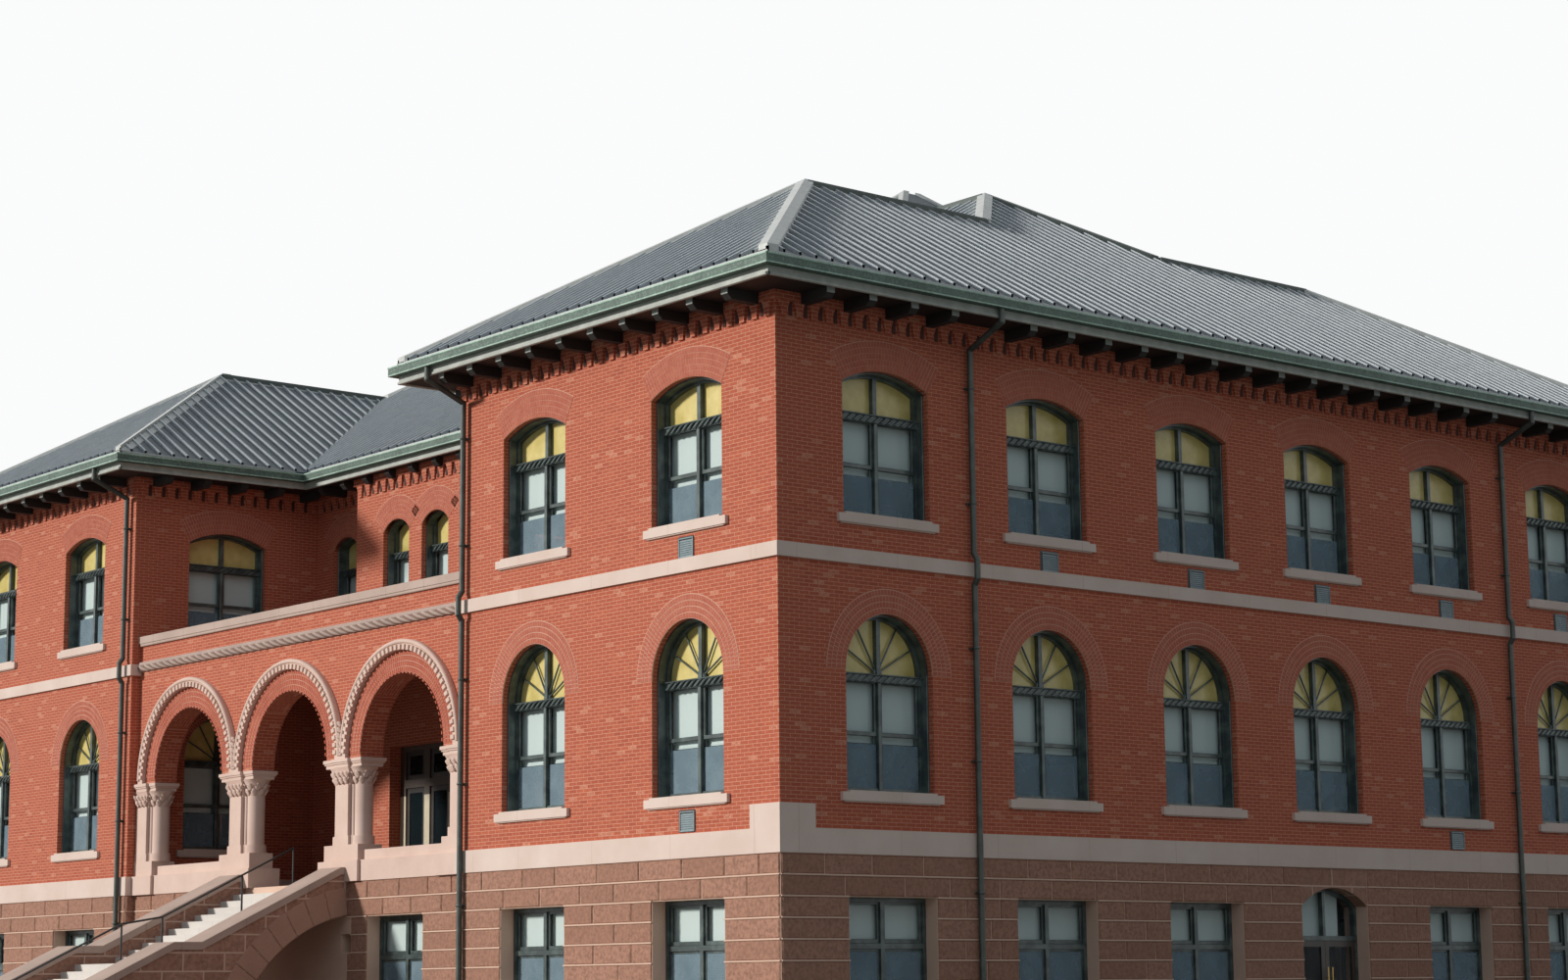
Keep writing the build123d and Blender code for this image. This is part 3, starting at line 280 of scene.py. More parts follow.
def window_glass():
    """Old drawn glass: dark rooms behind it, a cool sheen, slightly wavy."""
    material, tree, place = new_material("drawn_window_glass", 0.06, alpha=0.09)
    wave = noise(tree, place, 0.5, 2)
    return coat(material, mix(tree, wave, "3A4C54", "4C6068"), wave, 0.002, 0.4)


def tinted_glass():
    """Rolled cathedral glass in the top lights, olive yellow and softly ribbed."""
    material, tree, place = new_material("olive_cathedral_glass", 0.25)
    cloud = ramp(tree, noise(tree, place, 0.3, 3), 0.3, 0.7)
    colour = mix(tree, cloud, "C9B668", "E2D08A")
    return coat(material, colour, noise(tree, place, 0.02, 2), 0.001, 0.4)


def woven_screen():
    """Fly screen of fine wire over the lower sash: its blue-grey haze is partly the grey of the wire and partly a
    painted reflection of the sky in the lower panes. The wires are too fine to show.
    """
    material, tree, place = new_material("wire_screen_painted_sky_reflection", 0.7, alpha=0.5)
    dust = ramp(tree, noise(tree, place, 0.4, 4), 0.35, 0.7)
    # Painted reflection: the blue-grey stands for the sky mirrored in the lower panes.
    colour = mix(tree, dust, "768E9C", "8AA2AE")
    return coat(material, colour, noise(tree, place, 0.01, 2), 0.001, 0.3)


def blind_cloth():
    """Roller blind of waxed cotton, pale and matt, with a fine weave."""
    material, tree, place = new_material("pale_blind_cloth", 0.9)
    weave = add(tree, "TexWave", {"Scale": 60.0, "Distortion": 0.3}, {"Vector": place},
                bands_direction="Z").outputs["Fac"]
    return coat(material, mix(tree, weave, "DFF1ED", "EAF8F5"), weave, 0.0005, 0.3)


def rafter_painted_light_and_shade():
    """Rafter ends under the eaves: their dark paint made near black as painted shade under the eaves, and the sawn
    tips painted pale as painted light.
    """
    material, tree, place = new_material("rafter_ends_painted_light_and_shade", 0.75)
    axes = add(tree, "SeparateXYZ", {}, {"Vector": place}).outputs
    tip = maths(tree, "MAXIMUM", [maths(tree, "GREATER_THAN", [maths(tree, "ABSOLUTE", [axes[axis]])], [reach])
                                  for axis, reach in (("X", TIP_X), ("Y", TIP_Y))])
    grain = noise(tree, place, 0.03, 3)
    # Painted light and shade: pale on the sawn tips, which face the light, near black on the sides in the shade of
    # the eaves.
    pale = mix(tree, grain, "8C9490", "A5ABA6")
    dark = mix(tree, grain, "191716", "262321")
    return coat(material, mix(tree, tip, dark, pale), grain, 0.001, 0.3)


def entrance_paint():
    """Screen behind the porch: cream posts, with painted shade making the transom and the lights over it dark."""
    material, tree, place = new_material("cream_paint_with_painted_shade_high_up", 0.5)
    height = add(tree, "SeparateXYZ", {}, {"Vector": place}).outputs["Z"]
    shaded_upper_part = maths(tree, "GREATER_THAN", [height], [ENTRANCE_TRANSOM])
    chalk = noise(tree, place, 0.2, 4)
    cream = mix(tree, chalk, "D8CDB4", "BBAF96")
    dark = mix(tree, chalk, "3E3128", "4C3D32")
    # Painted shade: dark brown above the transom level, for the shade under the porch arches.
    return coat(material, mix(tree, shaded_upper_part, cream, dark), noise(tree, place, 0.012, 3), 0.001, 0.3)


BRICK = pressed_brick()
GAUGED = gauged_brick()
MORTAR = lime_mortar()
BASEMENT = split_stone()
BLOCKS = block_stone()
JOINTS = dressed_stone("raised_lime_joints", "DDBCA8", "C9A792", 0, 0.03)
PORCH_STONE = split_stone("split_faced_porch_stone", "A67E6C", "BC9482", "CDAE9E", 0.9)
PALE_STONE = dressed_stone("rubbed_pink_sandstone", "DFCBC0", "C8AFA1", 2.3)
CARVED_STONE = dressed_stone("carved_pink_sandstone", "DDC3B6", "C0A092")
COPING_STONE = dressed_stone("coping_sandstone", "C2AB9F", "9C877C", 1.4)
ROPE_STONE = dressed_stone("weathered_rope_stone", "B9A398", "93807A")
TREAD_STONE = dressed_stone("pale_granite_treads", "D9D2CB", "BFB8B2", 1.7, 0.008)
FLOOR_STONE = dressed_stone("concrete_floor", "8C8781", "77726D", 0, 0.01)
WINDOW_PAINT = painted("green_black_window_paint", "3A4646", "64726E", 0.32)
DOOR_PAINT = painted("dark_door_paint", "2A2624", "40362F", 0.4)
ENTRANCE_PAINT = entrance_paint()
# Painted shade: the soffit's paint is near black for the shade under the eaves.
EAVES_PAINT = painted("eaves_paint_darkened_as_painted_shade", "151413", "1F1D1B", 0.65)
FASCIA_PAINT = painted("grey_fascia_paint", "A4A8A1", "BFC2BA", 0.55)
PIPE_PAINT = painted("dark_pipe_paint", "353C38", "515A54", 0.5)
RAIL_PAINT = painted("black_rail_paint", "1D1C1C", "2E2C2B", 0.35, 0.08)
# Painted light and shade: the seams are far paler than the darkened pans of the same metal, for lit ribs over shaded
# pans.
ROOF = sheet_metal("grey_standing_seam_sheet", "525C63", "444E54", "626C73", 0.6, 0.1)
ROOF_CAP = sheet_metal("pale_cap_sheet", "BFC2BF", "AEB1AE", "C8CAC6", 0.55, 0.1)
COPPER = sheet_metal("weathered_green_copper", "50645A", "3C4C44", "708879", 0.6, 0.1)
SEAM_PAINTED_LIGHT = sheet_metal("seams_painted_light", "C6CCD0", "B4BBC0", "D6DADC", 0.5, 0.1)
RIDGE = sheet_metal("dark_ridge_roll", "4A5450", "3E4744", "5A6460", 0.6, 0.1)
VOUSSOIR = dressed_stone("rock_faced_voussoirs", "B8907E", "94705F", 0, 0.06)
# Painted shade: near-black strips for the shade in the slots of the corbel table.
CORBEL_SHADE = dressed_stone("corbel_slot_painted_shade", "4E2A22", "3C201A", 0, 0.05)
# Painted shade: darker stone laid in the grooves of the rope for the shade in them.
GROOVE_SHADE = dressed_stone("rope_groove_painted_shade", "8A6C60", "745A4F")
LOUVRE = painted("pale_louvre_paint", "76868B", "8E9CA0", 0.5, 0.1)
# Partly painted highlight: the pale mint on the gutter rims is patina and also the light along their lit edges.
PATINA_AND_HIGHLIGHT = sheet_metal("mint_patina_rim_and_painted_highlight", "A0BBAC", "7F9A8B", "C2D6CA", 0.6, 0.1)
SCREEN = woven_screen()
BRASS = sheet_metal("dulled_brass", "A88B52", "8F7543", "B89C66", 0.4, 0.9)
GLASS = window_glass()
TINTED = tinted_glass()
BLIND = blind_cloth()
RAFTER = rafter_painted_light_and_shade()


# Modelling by hand: primitives, edit mode and applied modifiers
def select(piece):
    """Selects one piece alone and makes it the active one."""
    bpy.ops.object.select_all(action="DESELECT")
    piece.select_set(True)
    bpy.context.view_layer.objects.active = piece


def primitive(operator, **settings):
    """A primitive added with its settings, its size and place applied."""
    bpy.ops.object.select_all(action="DESELECT")
    operator(**settings)
    bpy.ops.object.transform_apply(location=True, rotation=True, scale=True)
    return bpy.context.object


def block(low, high):
    """A block between two corners."""
    low, high = Vector(low), Vector(high)
    return primitive(bpy.ops.mesh.primitive_cube_add, size=1, location=(low + high) / 2, scale=high - low)


def edit(piece):
    select(piece)
    bpy.ops.object.mode_set(mode="EDIT")
    bpy.ops.mesh.select_mode(type="FACE")
    bpy.ops.mesh.select_all(action="DESELECT")


def done():
    bpy.ops.object.mode_set(mode="OBJECT")


def pick(piece, test):
    """Selects the faces of the piece in edit mode whose centre and normal pass the test."""
    mesh = bmesh.from_edit_mesh(piece.data)
    for face in mesh.faces:
        face.select_set(test(face.calc_center_median(), face.normal))
    bmesh.update_edit_mesh(piece.data)


def facing(axis, sign):
    return lambda centre, normal: normal[axis] * sign > 0.9


FRONT, TOP, BOTTOM = facing(1, -1), facing(2, 1), facing(2, -1)


def push(piece, test, offset, inset=0.0):
    """Moves the faces that pass the test, inset first where a width is given."""
    edit(piece)
    pick(piece, test)
    if inset:
        bpy.ops.mesh.inset(thickness=inset)
    bpy.ops.transform.translate(value=offset)
    done()
    return piece


def extrude(offset):
    bpy.ops.mesh.extrude_region_move(TRANSFORM_OT_translate={"value": offset})


def cut(piece, point, normal):
    """Cuts a piece through and drops what lies on the normal's side, closing the cut."""
    edit(piece)
    bpy.ops.mesh.select_all(action="SELECT")
    bpy.ops.mesh.bisect(plane_co=point, plane_no=normal, clear_outer=True, use_fill=True)
    done()
    return piece


def cut_to(piece, corners):
    """Cuts a piece off upright along its plan corners, which run anticlockwise."""
    for (x0, y0), (x1, y1) in zip(corners, corners[1:] + corners[:1]):
        cut(piece, (x0, y0, 0), (y1 - y0, x0 - x1, 0))
    return piece


def apply(piece, kind, **settings):
    """Adds a modifier with its settings and applies it."""
    modifier = piece.modifiers.new(kind.title(), kind)
    for key, value in settings.items():
        setattr(modifier, key, value)
    select(piece)
    bpy.ops.object.modifier_apply(modifier=modifier.name)
    return piece


def soften(piece, width, segments=1):
    return apply(piece, "BEVEL", width=width, segments=segments, limit_method="ANGLE")


def join(pieces):
    select(pieces[0])
    for piece in pieces:
        piece.select_set(True)
    bpy.ops.object.join()
    return bpy.context.object


def smooth(piece, degrees=35):
    select(piece)
    bpy.ops.object.shade_smooth_by_angle(angle=math.radians(degrees))
    return piece


def merged(piece):
    """Doubles merged and normals turned outwards, after a spin or a screw."""
    edit(piece)
    bpy.ops.mesh.select_all(action="SELECT")
    bpy.ops.mesh.remove_doubles(threshold=0.0004)
    bpy.ops.mesh.normals_make_consistent(inside=False)
    done()
    return piece


def move(x, y, z):
    return Matrix.Translation((x, y, z))


def turned(degrees, axis="Z"):
    return Matrix.Rotation(math.radians(degrees), 4, axis)


def at(x, y, z, turn=0.0):
    """Place in a wall: local x runs along it to the right as seen from outside, local y into it."""
    return move(x, y, z) @ turned(turn)


def gathered(whole):
    """One object from a gathered mesh."""
    mesh = bpy.data.meshes.new("gathered")
    whole.to_mesh(mesh)
    whole.free()
    made = bpy.data.objects.new("gathered", mesh)
    bpy.context.collection.objects.link(made)
    return made


def repeat(piece, places):
    """Copies of a piece, each with its own mesh, joined into one object."""
    whole = bmesh.new()
    for place in places:
        mesh = piece.data.copy()
        mesh.transform(place)
        whole.from_mesh(mesh)
        bpy.data.meshes.remove(mesh)
    bpy.data.objects.remove(piece)
    return gathered(whole)


def finish(piece, name, material, places=(), body="building", replaces=()):
    """Copies a piece to its places, names it, gives it its finish and lets it ride on its body."""
    if places:
        piece = repeat(piece, places)
    piece.name = name
    piece.data.materials.clear()
    piece.data.materials.append(material)
    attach(piece, body)
    if replaces:
        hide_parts(*replaces)


def open_frame(low, high, border):
    """A rectangular frame: a block inset front and back and bridged through."""
    piece = block(low, high)
    edit(piece)
    pick(piece, lambda centre, normal: abs(normal.y) > 0.9)
    bpy.ops.mesh.inset(thickness=border)
    bpy.ops.mesh.bridge_edge_loops()
    done()
    return piece


# Places of the windows
def wall_places(storey):
    """Places of the wide windows of one storey on every wall but the front court's middle."""
    places = []
    for side in (1, -1):
        for y in SIDE_BAYS:
            if not (storey == "basement" and side == 1 and y == DOOR_BAY):
                places.append(at(side * HALF_WIDTH, y, 0, 90 * side))
        for end, turn in ENDS:
            places += [at(side * WING_MIDDLE + x, end * HALF_LENGTH, 0, turn) for x in WING_BAYS]
        places += [at(side * COURT_HALF, y, 0, -90 * side) for y in COURT_BAYS]
    places += [at(x, COURT_LINE, 0, 180) for x in REAR_COURT_BAYS]
    if storey == "basement":
        places += [at(x, PORCH_FACE, 0, 0) for x in PORCH_BASE_BAYS]
    return places


def drawn_places(storey):
    """The windows whose blinds are let right down: those of the left side and the back."""
    return [place for place in wall_places(storey) if place.translation.x < -16 or place.translation.y > 7]


NARROW_PLACES = ([at(x, -COURT_LINE, 0) for x in (-5.4, 5.4)]
                 + [at(x, -BAY_LINE, 0) for x in (-2.403, -0.801, 0.801, 2.403)])

# A kind of window: half its width, its foot and head, the level of its transom, the radius and half angle of its
# head, the rings of bricks in its arch, half the width of its sill, and its places. A window is wide from WIDE on.
Window = namedtuple("Window", "storey half low high level radius angle rings sill_half places")
WIDE_HALF, NARROW_HALF, WIDE = 1.01, 0.5425, 0.8
UPPER_LEVELS = 9.755, 12.367, 11.552
WINDOWS = (Window("lower", WIDE_HALF, 4.966, 8.076, 6.967, WIDE_HALF, math.pi / 2, 4, 1.10, wall_places("lower")),
           Window("upper", WIDE_HALF, *UPPER_LEVELS, 2.071, math.asin(WIDE_HALF / 2.071), 5, 1.10,
                  wall_places("upper")),
           Window("narrow", NARROW_HALF, *UPPER_LEVELS, 0.691, math.asin(NARROW_HALF / 0.691), 5, 0.62,
                  NARROW_PLACES))
SASH_EDGE = 0.075
HALF_MULLION = 0.045


# Sashes, blinds and coloured lights
def lights(half, edge, gap):
    """Spans of the lights of a window: one each side of the mullion, or one alone in a narrow window."""
    return ((edge - half, -gap), (gap, half - edge)) if half > WIDE else ((edge - half, half - edge),)


def sash(x0, x1, low, high, depth):
    """One sash: a moulded frame with a deeper bottom rail."""
    piece = open_frame((x0, depth, low), (x1, depth + 0.035, high), 0.045)
    push(piece, lambda centre, normal: normal.z > 0.9 and centre.z < (low + high) / 2, (0, 0, 0.03))
    return soften(piece, 0.006)


def sash_pairs(half, low, high):
    """Two sashes, one over the other, in each light of a window."""
    middle = (low + high) / 2
    made = []
    for x0, x1 in lights(half, SASH_EDGE, HALF_MULLION):
        made.append(sash(x0, x1, middle - 0.025, high, 0.315))
        made.append(sash(x0, x1, low, middle + 0.02, 0.352))
    return made


def transom_moulding(half, level):
    """Deep bar across the window in front of the transom, with a thin lip over it."""
    bar = block((-half + 0.01, 0.25, level - 0.075), (half - 0.01, 0.30, level + 0.075))
    lip = block((-half + 0.01, 0.215, level + 0.052), (half - 0.01, 0.30, level + 0.08))
    return join([soften(bar, 0.012, 2), soften(lip, 0.008)])


def cable_moulding(half, level):
    """Slanting lobes of the cable carved along the transom bar."""
    pitch, lean = 0.16, 0.08
    count = int((2 * half - 0.14) / pitch)
    lobes = []
    for k in range(count):
        x = (k - (count - 1) / 2) * pitch
        lobe = block((x - 0.042, 0.212, level - 0.07), (x + 0.042, 0.26, level + 0.052))
        push(lobe, TOP, (lean, 0, 0))
        push(lobe, BOTTOM, (-lean, 0, 0))
        lobes.append(soften(lobe, 0.014))
    return join(lobes)


def mullion_moulding(low, high):
    return soften(block((-HALF_MULLION, 0.262, low), (HALF_MULLION, 0.30, high)), 0.018, 2)


def fan_bars(centre, radius):
    """Half-round hub and spokes of a fanlight."""
    hub = primitive(bpy.ops.mesh.primitive_torus_add, location=(0, 0.34, centre), rotation=(math.pi / 2, 0, 0),
                    major_radius=0.075, minor_radius=0.035, major_segments=24, minor_segments=6)
    bars = [cut(hub, (0, 0, centre), (0, 0, -1))]
    for degrees in (30, 60, 90, 120, 150):
        bar = soften(block((0.08, 0.325, -0.013), (radius, 0.36, 0.013)), 0.006)
        bar.data.transform(move(0, 0, centre) @ turned(-degrees, "Y"))
        bars.append(bar)
    return bars


def screens(half, low, high):
    """Wire cloth over the lower sash of each light, dished a little in its rim."""
    return [push(block((x0, 0.338, low), (x1, 0.342, high)), FRONT, (0, 0.002, 0), 0.02)
            for x0, x1 in lights(half, 0.08, 0.05)]


def blinds(half, high, foot):
    """Roller blinds with their bottom rails, let down to the given level."""
    made = []
    for x0, x1 in lights(half, 0.05, 0.03):
        piece = block((x0, 0.434, foot), (x1, 0.440, high))
        edit(piece)
        pick(piece, BOTTOM)
        extrude((0, 0, -0.005))
        bpy.ops.transform.resize(value=(1, 4, 1))
        extrude((0, 0, -0.035))
        done()
        made.append(piece)
    return made


def hang_blinds(storey, half, high, part_foot, full_foot, places):
    """Blinds let down part of the way, and right down on the left side and at the back."""
    drawn = drawn_places(storey) if half > WIDE else []
    partly = [place for place in places if place not in drawn]
    cloths = [repeat(join(blinds(half, high, foot)), spots)
              for foot, spots in ((part_foot, partly), (full_foot, drawn)) if spots]
    finish(join(cloths), storey + "_blinds", BLIND)


def top_light(half, low, high, radius):
    """Coloured glass over a transom, cut from a disc to the curve of the window's head."""
    piece = primitive(bpy.ops.mesh.primitive_cylinder_add, vertices=96, radius=radius - 0.02, depth=0.008,
                      location=(0, 0.392, high - radius), rotation=(math.pi / 2, 0, 0))
    reach = half - 0.03
    for point, normal in (((0, 0, low), (0, 0, -1)), ((reach, 0, 0), (1, 0, 0)), ((-reach, 0, 0), (-1, 0, 0))):
        cut(piece, point, normal)
    return piece


def window_dressing(window):
    """Sashes, mouldings, screens, blinds and coloured lights of one kind of window, copied to its places."""
    storey, half, level, places = window.storey, window.half, window.level, window.places
    foot = window.low + 0.03
    low, high = foot + SASH_EDGE, level - 0.045
    middle = (low + high) / 2
    bars = sash_pairs(half, low, high) + [transom_moulding(half, level)]
    if half > WIDE:
        bars.append(mullion_moulding(foot, level))
    if storey == "lower":
        bars += fan_bars(window.high - window.radius, window.radius - 0.06)
    finish(join(bars), storey + "_sashes", WINDOW_PAINT, places)
    finish(cable_moulding(half, level), storey + "_transom_cables", WINDOW_PAINT, places)
    finish(join(screens(half, low, middle - 0.16)), storey + "_screens", SCREEN, places)
    hang_blinds(storey, half, level, middle - 0.1, foot + 0.1, places)
    glass = top_light(half, level, window.high, window.radius)
    finish(glass, storey + "_top_lights", TINTED, places)


def basement_dressing():
    """Sashes, screens and blinds of the basement's square windows."""
    places = wall_places("basement")
    foot, rail, meeting, head = BASEMENT_LEVELS
    sashes = [sash(x0, x1, low, high, 0.33) for low, high in ((foot, rail), (meeting, head))
              for x0, x1 in lights(WIDE_HALF, SASH_EDGE, HALF_MULLION)]
    finish(join(sashes), "basement_sashes", WINDOW_PAINT, places)
    finish(join(screens(WIDE_HALF, foot, 2.36)), "basement_screens", SCREEN, places)
    hang_blinds("basement", WIDE_HALF, head, 2.30, 1.70, places)


for window in WINDOWS:
    window_dressing(window)
basement_dressing()


# Brick arches: width of a gauged brick on its face, and depth of a ring over a window and over the porch.
ARCH_BRICK = 0.074
RING_DEPTH, PORCH_RING_DEPTH = 0.107, 0.11


def brick_ring(count, inner, depth, half_angle, centre, out, gap=0.012, seam=0.007):
    """One ring of bricks laid on end round an arch, a little proud of the wall."""
    step = 2 * half_angle / count
    width = (inner + depth / 2) * step - gap
    brick = block((-width / 2, -out, inner + seam), (width / 2, 0.02, inner + depth - seam))
    edit(brick)
    pick(brick, facing(1, 1))
    bpy.ops.mesh.delete(type="FACE")
    done()
    return repeat(brick, [move(0, 0, centre) @ Matrix.Rotation((k + 0.5) * step - half_angle, 4, "Y")
                          for k in range(count)])


def arch_bricks(rings, inner, depth, half_angle, centre, out=0.008, seam=0.007):
    """Rings of bricks, one outside the other."""
    made = []
    for k in range(rings):
        start = inner + k * depth
        count = round(2 * half_angle * (start + depth / 2) / ARCH_BRICK)
        made.append(brick_ring(count, start, depth, half_angle, centre, out, seam=seam))
    return join(made)


def arch_joints(inner, outer, half_angle, centre, out=0.004, back=0.02):
    """Mortar bed behind a ring of bricks, spun round the centre of the arch."""
    slab = block((-0.001, -out, inner), (0.001, back, outer))
    edit(slab)
    pick(slab, facing(0, 1))
    bpy.ops.mesh.select_all(action="INVERT")
    bpy.ops.mesh.delete(type="FACE")
    bpy.ops.mesh.select_all(action="SELECT")
    bpy.ops.mesh.spin(steps=28, angle=2 * half_angle, center=(0, 0, 0), axis=(0, 1, 0))
    done()
    merged(slab)
    angles = [math.atan2(vertex.co.x, vertex.co.z) for vertex in slab.data.vertices]
    middle = (max(angles) + min(angles)) / 2
    slab.data.transform(move(0, 0, centre) @ Matrix.Rotation(-middle, 4, "Y"))
    return slab


for window in WINDOWS:
    name, centre = window.storey + "_arch", window.high - window.radius
    seam = 0.007 if window.storey == "lower" else 0.003
    bricks = arch_bricks(window.rings, window.radius, RING_DEPTH, window.angle, centre, seam=seam)
    finish(bricks, name + "_bricks", GAUGED, window.places)
    bed = arch_joints(window.radius, window.radius + window.rings * RING_DEPTH + 0.01, window.angle, centre)
    finish(bed, name + "_joints", MORTAR, window.places)


def casing(window):
    """Dark casing that lines the inner half of a brick reveal, round the jambs and under the arch."""
    centre = window.high - window.radius
    spring = centre + window.radius * math.cos(window.angle)
    head = arch_joints(window.radius - 0.035, window.radius, window.angle, centre, -0.12, 0.30)
    middle = window.half - 0.018
    jambs = [soften(block((x - 0.018, 0.12, window.low), (x + 0.018, 0.30, spring)), 0.008)
             for x in (-middle, middle)]
    return join([head] + jambs)


for window in WINDOWS:
    finish(casing(window), window.storey + "_casings", WINDOW_PAINT, window.places)

porch_places = [at(k * ARCH_PITCH, PORCH_FACE, 0) for k in (-1, 0, 1)]
ring = arch_bricks(4, ARCH_RADIUS, PORCH_RING_DEPTH, math.pi / 2, ARCH_CENTRE, 0.012)
finish(ring, "porch_arch_bricks", GAUGED, porch_places)
bed = arch_joints(ARCH_RADIUS, ARCH_RADIUS + 0.443, math.pi / 2, ARCH_CENTRE)
finish(bed, "porch_arch_joints", MORTAR, porch_places)


# Corbel table under the eaves
def runs():
    """Each straight run of wall: its start, turn and length, and how far it laps the corner at each end."""
    lap = 0.07
    found = []
    for side in (1, -1):
        found.append((side * HALF_WIDTH, -side * HALF_LENGTH, 90 * side, 2 * HALF_LENGTH, 0, 0))
        front, rear = side * WING_MIDDLE - WING_WIDTH / 2, side * WING_MIDDLE + WING_WIDTH / 2
        found.append((front, -HALF_LENGTH, 0, WING_WIDTH, lap, lap))
        found.append((rear, HALF_LENGTH, 180, WING_WIDTH, lap, lap))
        inner = HALF_LENGTH - COURT_LINE
        found.append((side * COURT_HALF, HALF_LENGTH if side > 0 else COURT_LINE, -90 * side, inner, 0, 0))
        found.append((side * COURT_HALF, -COURT_LINE if side > 0 else -HALF_LENGTH, -90 * side, inner, 0, 0))
        found.append((-COURT_HALF if side < 0 else BAY_HALF, -COURT_LINE, 0, COURT_HALF - BAY_HALF, 0, 0))
    found.append((COURT_HALF, COURT_LINE, 180, 2 * COURT_HALF, 0, 0))
    found.append((-BAY_HALF, -BAY_LINE, 0, 2 * BAY_HALF, lap, lap))
    return found


CORBEL_PITCH = 0.34
TEETH_TOP, TABLE_TOP, TABLE_OUT = 0.27, 0.43, 0.07


def corbel_cell(pitch):
    """One pitch of the table: plain top courses with a stepped brick tooth hung from them."""
    piece = block((0, -TABLE_OUT, TEETH_TOP), (pitch, 0.0, TABLE_TOP))
    edit(piece)
    pick(piece, BOTTOM)
    bpy.ops.mesh.inset(thickness=0.001)
    bpy.ops.transform.resize(value=(0.70, 0.94, 1), center_override=(pitch / 2, 0, TEETH_TOP))
    extrude((0, 0, -0.202))
    bpy.ops.transform.resize(value=(0.55, 0.6, 1), center_override=(pitch / 2, 0, 0))
    extrude((0, 0, -0.068))
    done()
    return piece


tables = []
recesses = []
for x, y, turn, length, lap_start, lap_end in runs():
    count = round(length / CORBEL_PITCH)
    pitch = length / count
    place = at(x, y, CORBEL_LOW, turn)
    cells = [place @ move(k * pitch, 0, 0) for k in range(count)]
    tables.append(repeat(corbel_cell(pitch), cells))
    # Near-black strip set in each slot, as painted shade.
    slot = soften(block((-0.04, -0.012, 0.02), (0.04, 0.0, 0.272)), 0.004)
    recesses.append(repeat(slot, cells[1:]))
    for reach, start in ((lap_start, -lap_start), (lap_end, length)):
        if reach:
            lap = block((start, -TABLE_OUT, TEETH_TOP), (start + reach, 0.0, TABLE_TOP))
            tables.append(repeat(soften(lap, 0.004), [place]))
finish(join(tables), "corbel_table", BRICK, replaces=["corbel_course"])
finish(join(recesses), "corbel_recesses", CORBEL_SHADE)


# Standing seams
def raked(pitch):
    """Lifts a slope's own plan to the slope."""
    return Matrix(((1, 0, 0, 0), (0, 1, 0, 0), (0, pitch, 1, 0), (0, 0, 0, 1)))


def seams(corners, length, start):
    """Upright seams at one pitch on a roof slope, cut off along the slope's plan corners.

    In the slope's own frame x runs along the eaves and y up the slope, both as seen in plan.
    """
    half = max(abs(x) for x, y in corners)
    count = 2 * int(half / SEAM_PITCH) + 1
    rib = block((-0.024, start, -0.01), (0.024, length, 0.07))
    edit(rib)
    pick(rib, TOP)
    bpy.ops.transform.resize(value=(1.25, 1, 1))
    done()
    ribs = repeat(rib, [move((k - count // 2) * SEAM_PITCH, 0, 0) for k in range(count)])
    cut_to(ribs, corners)
    ribs.data.transform(raked(ROOF_PITCH))
    return ribs


def slope_place(turn, reach):
    """Frame of a slope whose nose line runs at the given distance out from the middle of the building."""
    return turned(turn) @ move(0, -reach, NOSE_LEVEL)


def slope(points, turn, reach):
    """Seams of one slope, from its plan corners in the frame of the building."""
    place = slope_place(turn, reach).inverted()
    local = [place @ Vector((x, y, 0)) for x, y in points]
    corners = [(p.x, p.y) for p in local]
    area = sum(a[0] * b[1] - b[0] * a[1] for a, b in zip(corners, corners[1:] + corners[:1]))
    corners = corners if area > 0 else corners[::-1]
    low = min(y for x, y in corners)
    middle = sum(x for x, y in corners) / len(corners)
    centred = [(x - middle, y) for x, y in corners]
    ribs = seams(centred, max(y for x, y in corners) + 0.01, low)
    ribs.data.transform(slope_place(turn, reach) @ move(middle, 0, 0))
    return ribs


slopes = []
for side in (1, -1):
    turn, outer, ridge, inner = 90 * side, side * NOSE_X, side * WING_MIDDLE, side * COURT_NOSE_X
    slopes.append(slope([(outer, -NOSE_Y), (outer, NOSE_Y), (ridge, WING_RIDGE_END), (ridge, -WING_RIDGE_END)],
                        turn, NOSE_X))
    slopes.append(slope([(ridge, -MAIN_RUN), (ridge, MAIN_RUN), (side * MAIN_RIDGE_END, 0)], turn, NOSE_X))
    for end, face in ENDS:
        nose, tip = end * NOSE_Y, end * WING_RIDGE_END
        slopes.append(slope([(outer, nose), (ridge, tip), (inner, nose)], face, NOSE_Y))
        slopes.append(slope([(inner, nose), (ridge, tip), (ridge, end * MAIN_RUN), (inner, end * COURT_NOSE_Y)],
                            -turn, -COURT_NOSE_X))
for end, face in ENDS:
    nose, tip = end * COURT_NOSE_Y, end * MAIN_RUN
    slopes.append(slope([(-COURT_NOSE_X, nose), (COURT_NOSE_X, nose), (WING_MIDDLE, tip), (MAIN_RIDGE_END, 0),
                         (-MAIN_RIDGE_END, 0), (-WING_MIDDLE, tip)], face, COURT_NOSE_Y))
finish(join(slopes), "roof_seams", SEAM_PAINTED_LIGHT)


# Hip strips
def hip_strip(half, run, width, pitch, place, thick):
    """Boxed sheet along both hips of a slope, in the slope's own frame: half the eaves, and how far in it ends."""
    halves = []
    for side in (1, -1):
        inner = (half - run - width, run) if half > run else (0, run - width)
        corners = [(half, 0), (half - run, run), inner, (half - width, 0)]
        corners = [(side * x, y) for x, y in corners][::side]
        low, high = min(x for x, y in corners), max(x for x, y in corners)
        strip = cut_to(block((low - 0.05, -0.05, 0.0), (high + 0.05, run + 0.05, thick)), corners)
        strip.data.transform(place @ raked(pitch))
        halves.append(strip)
    return halves


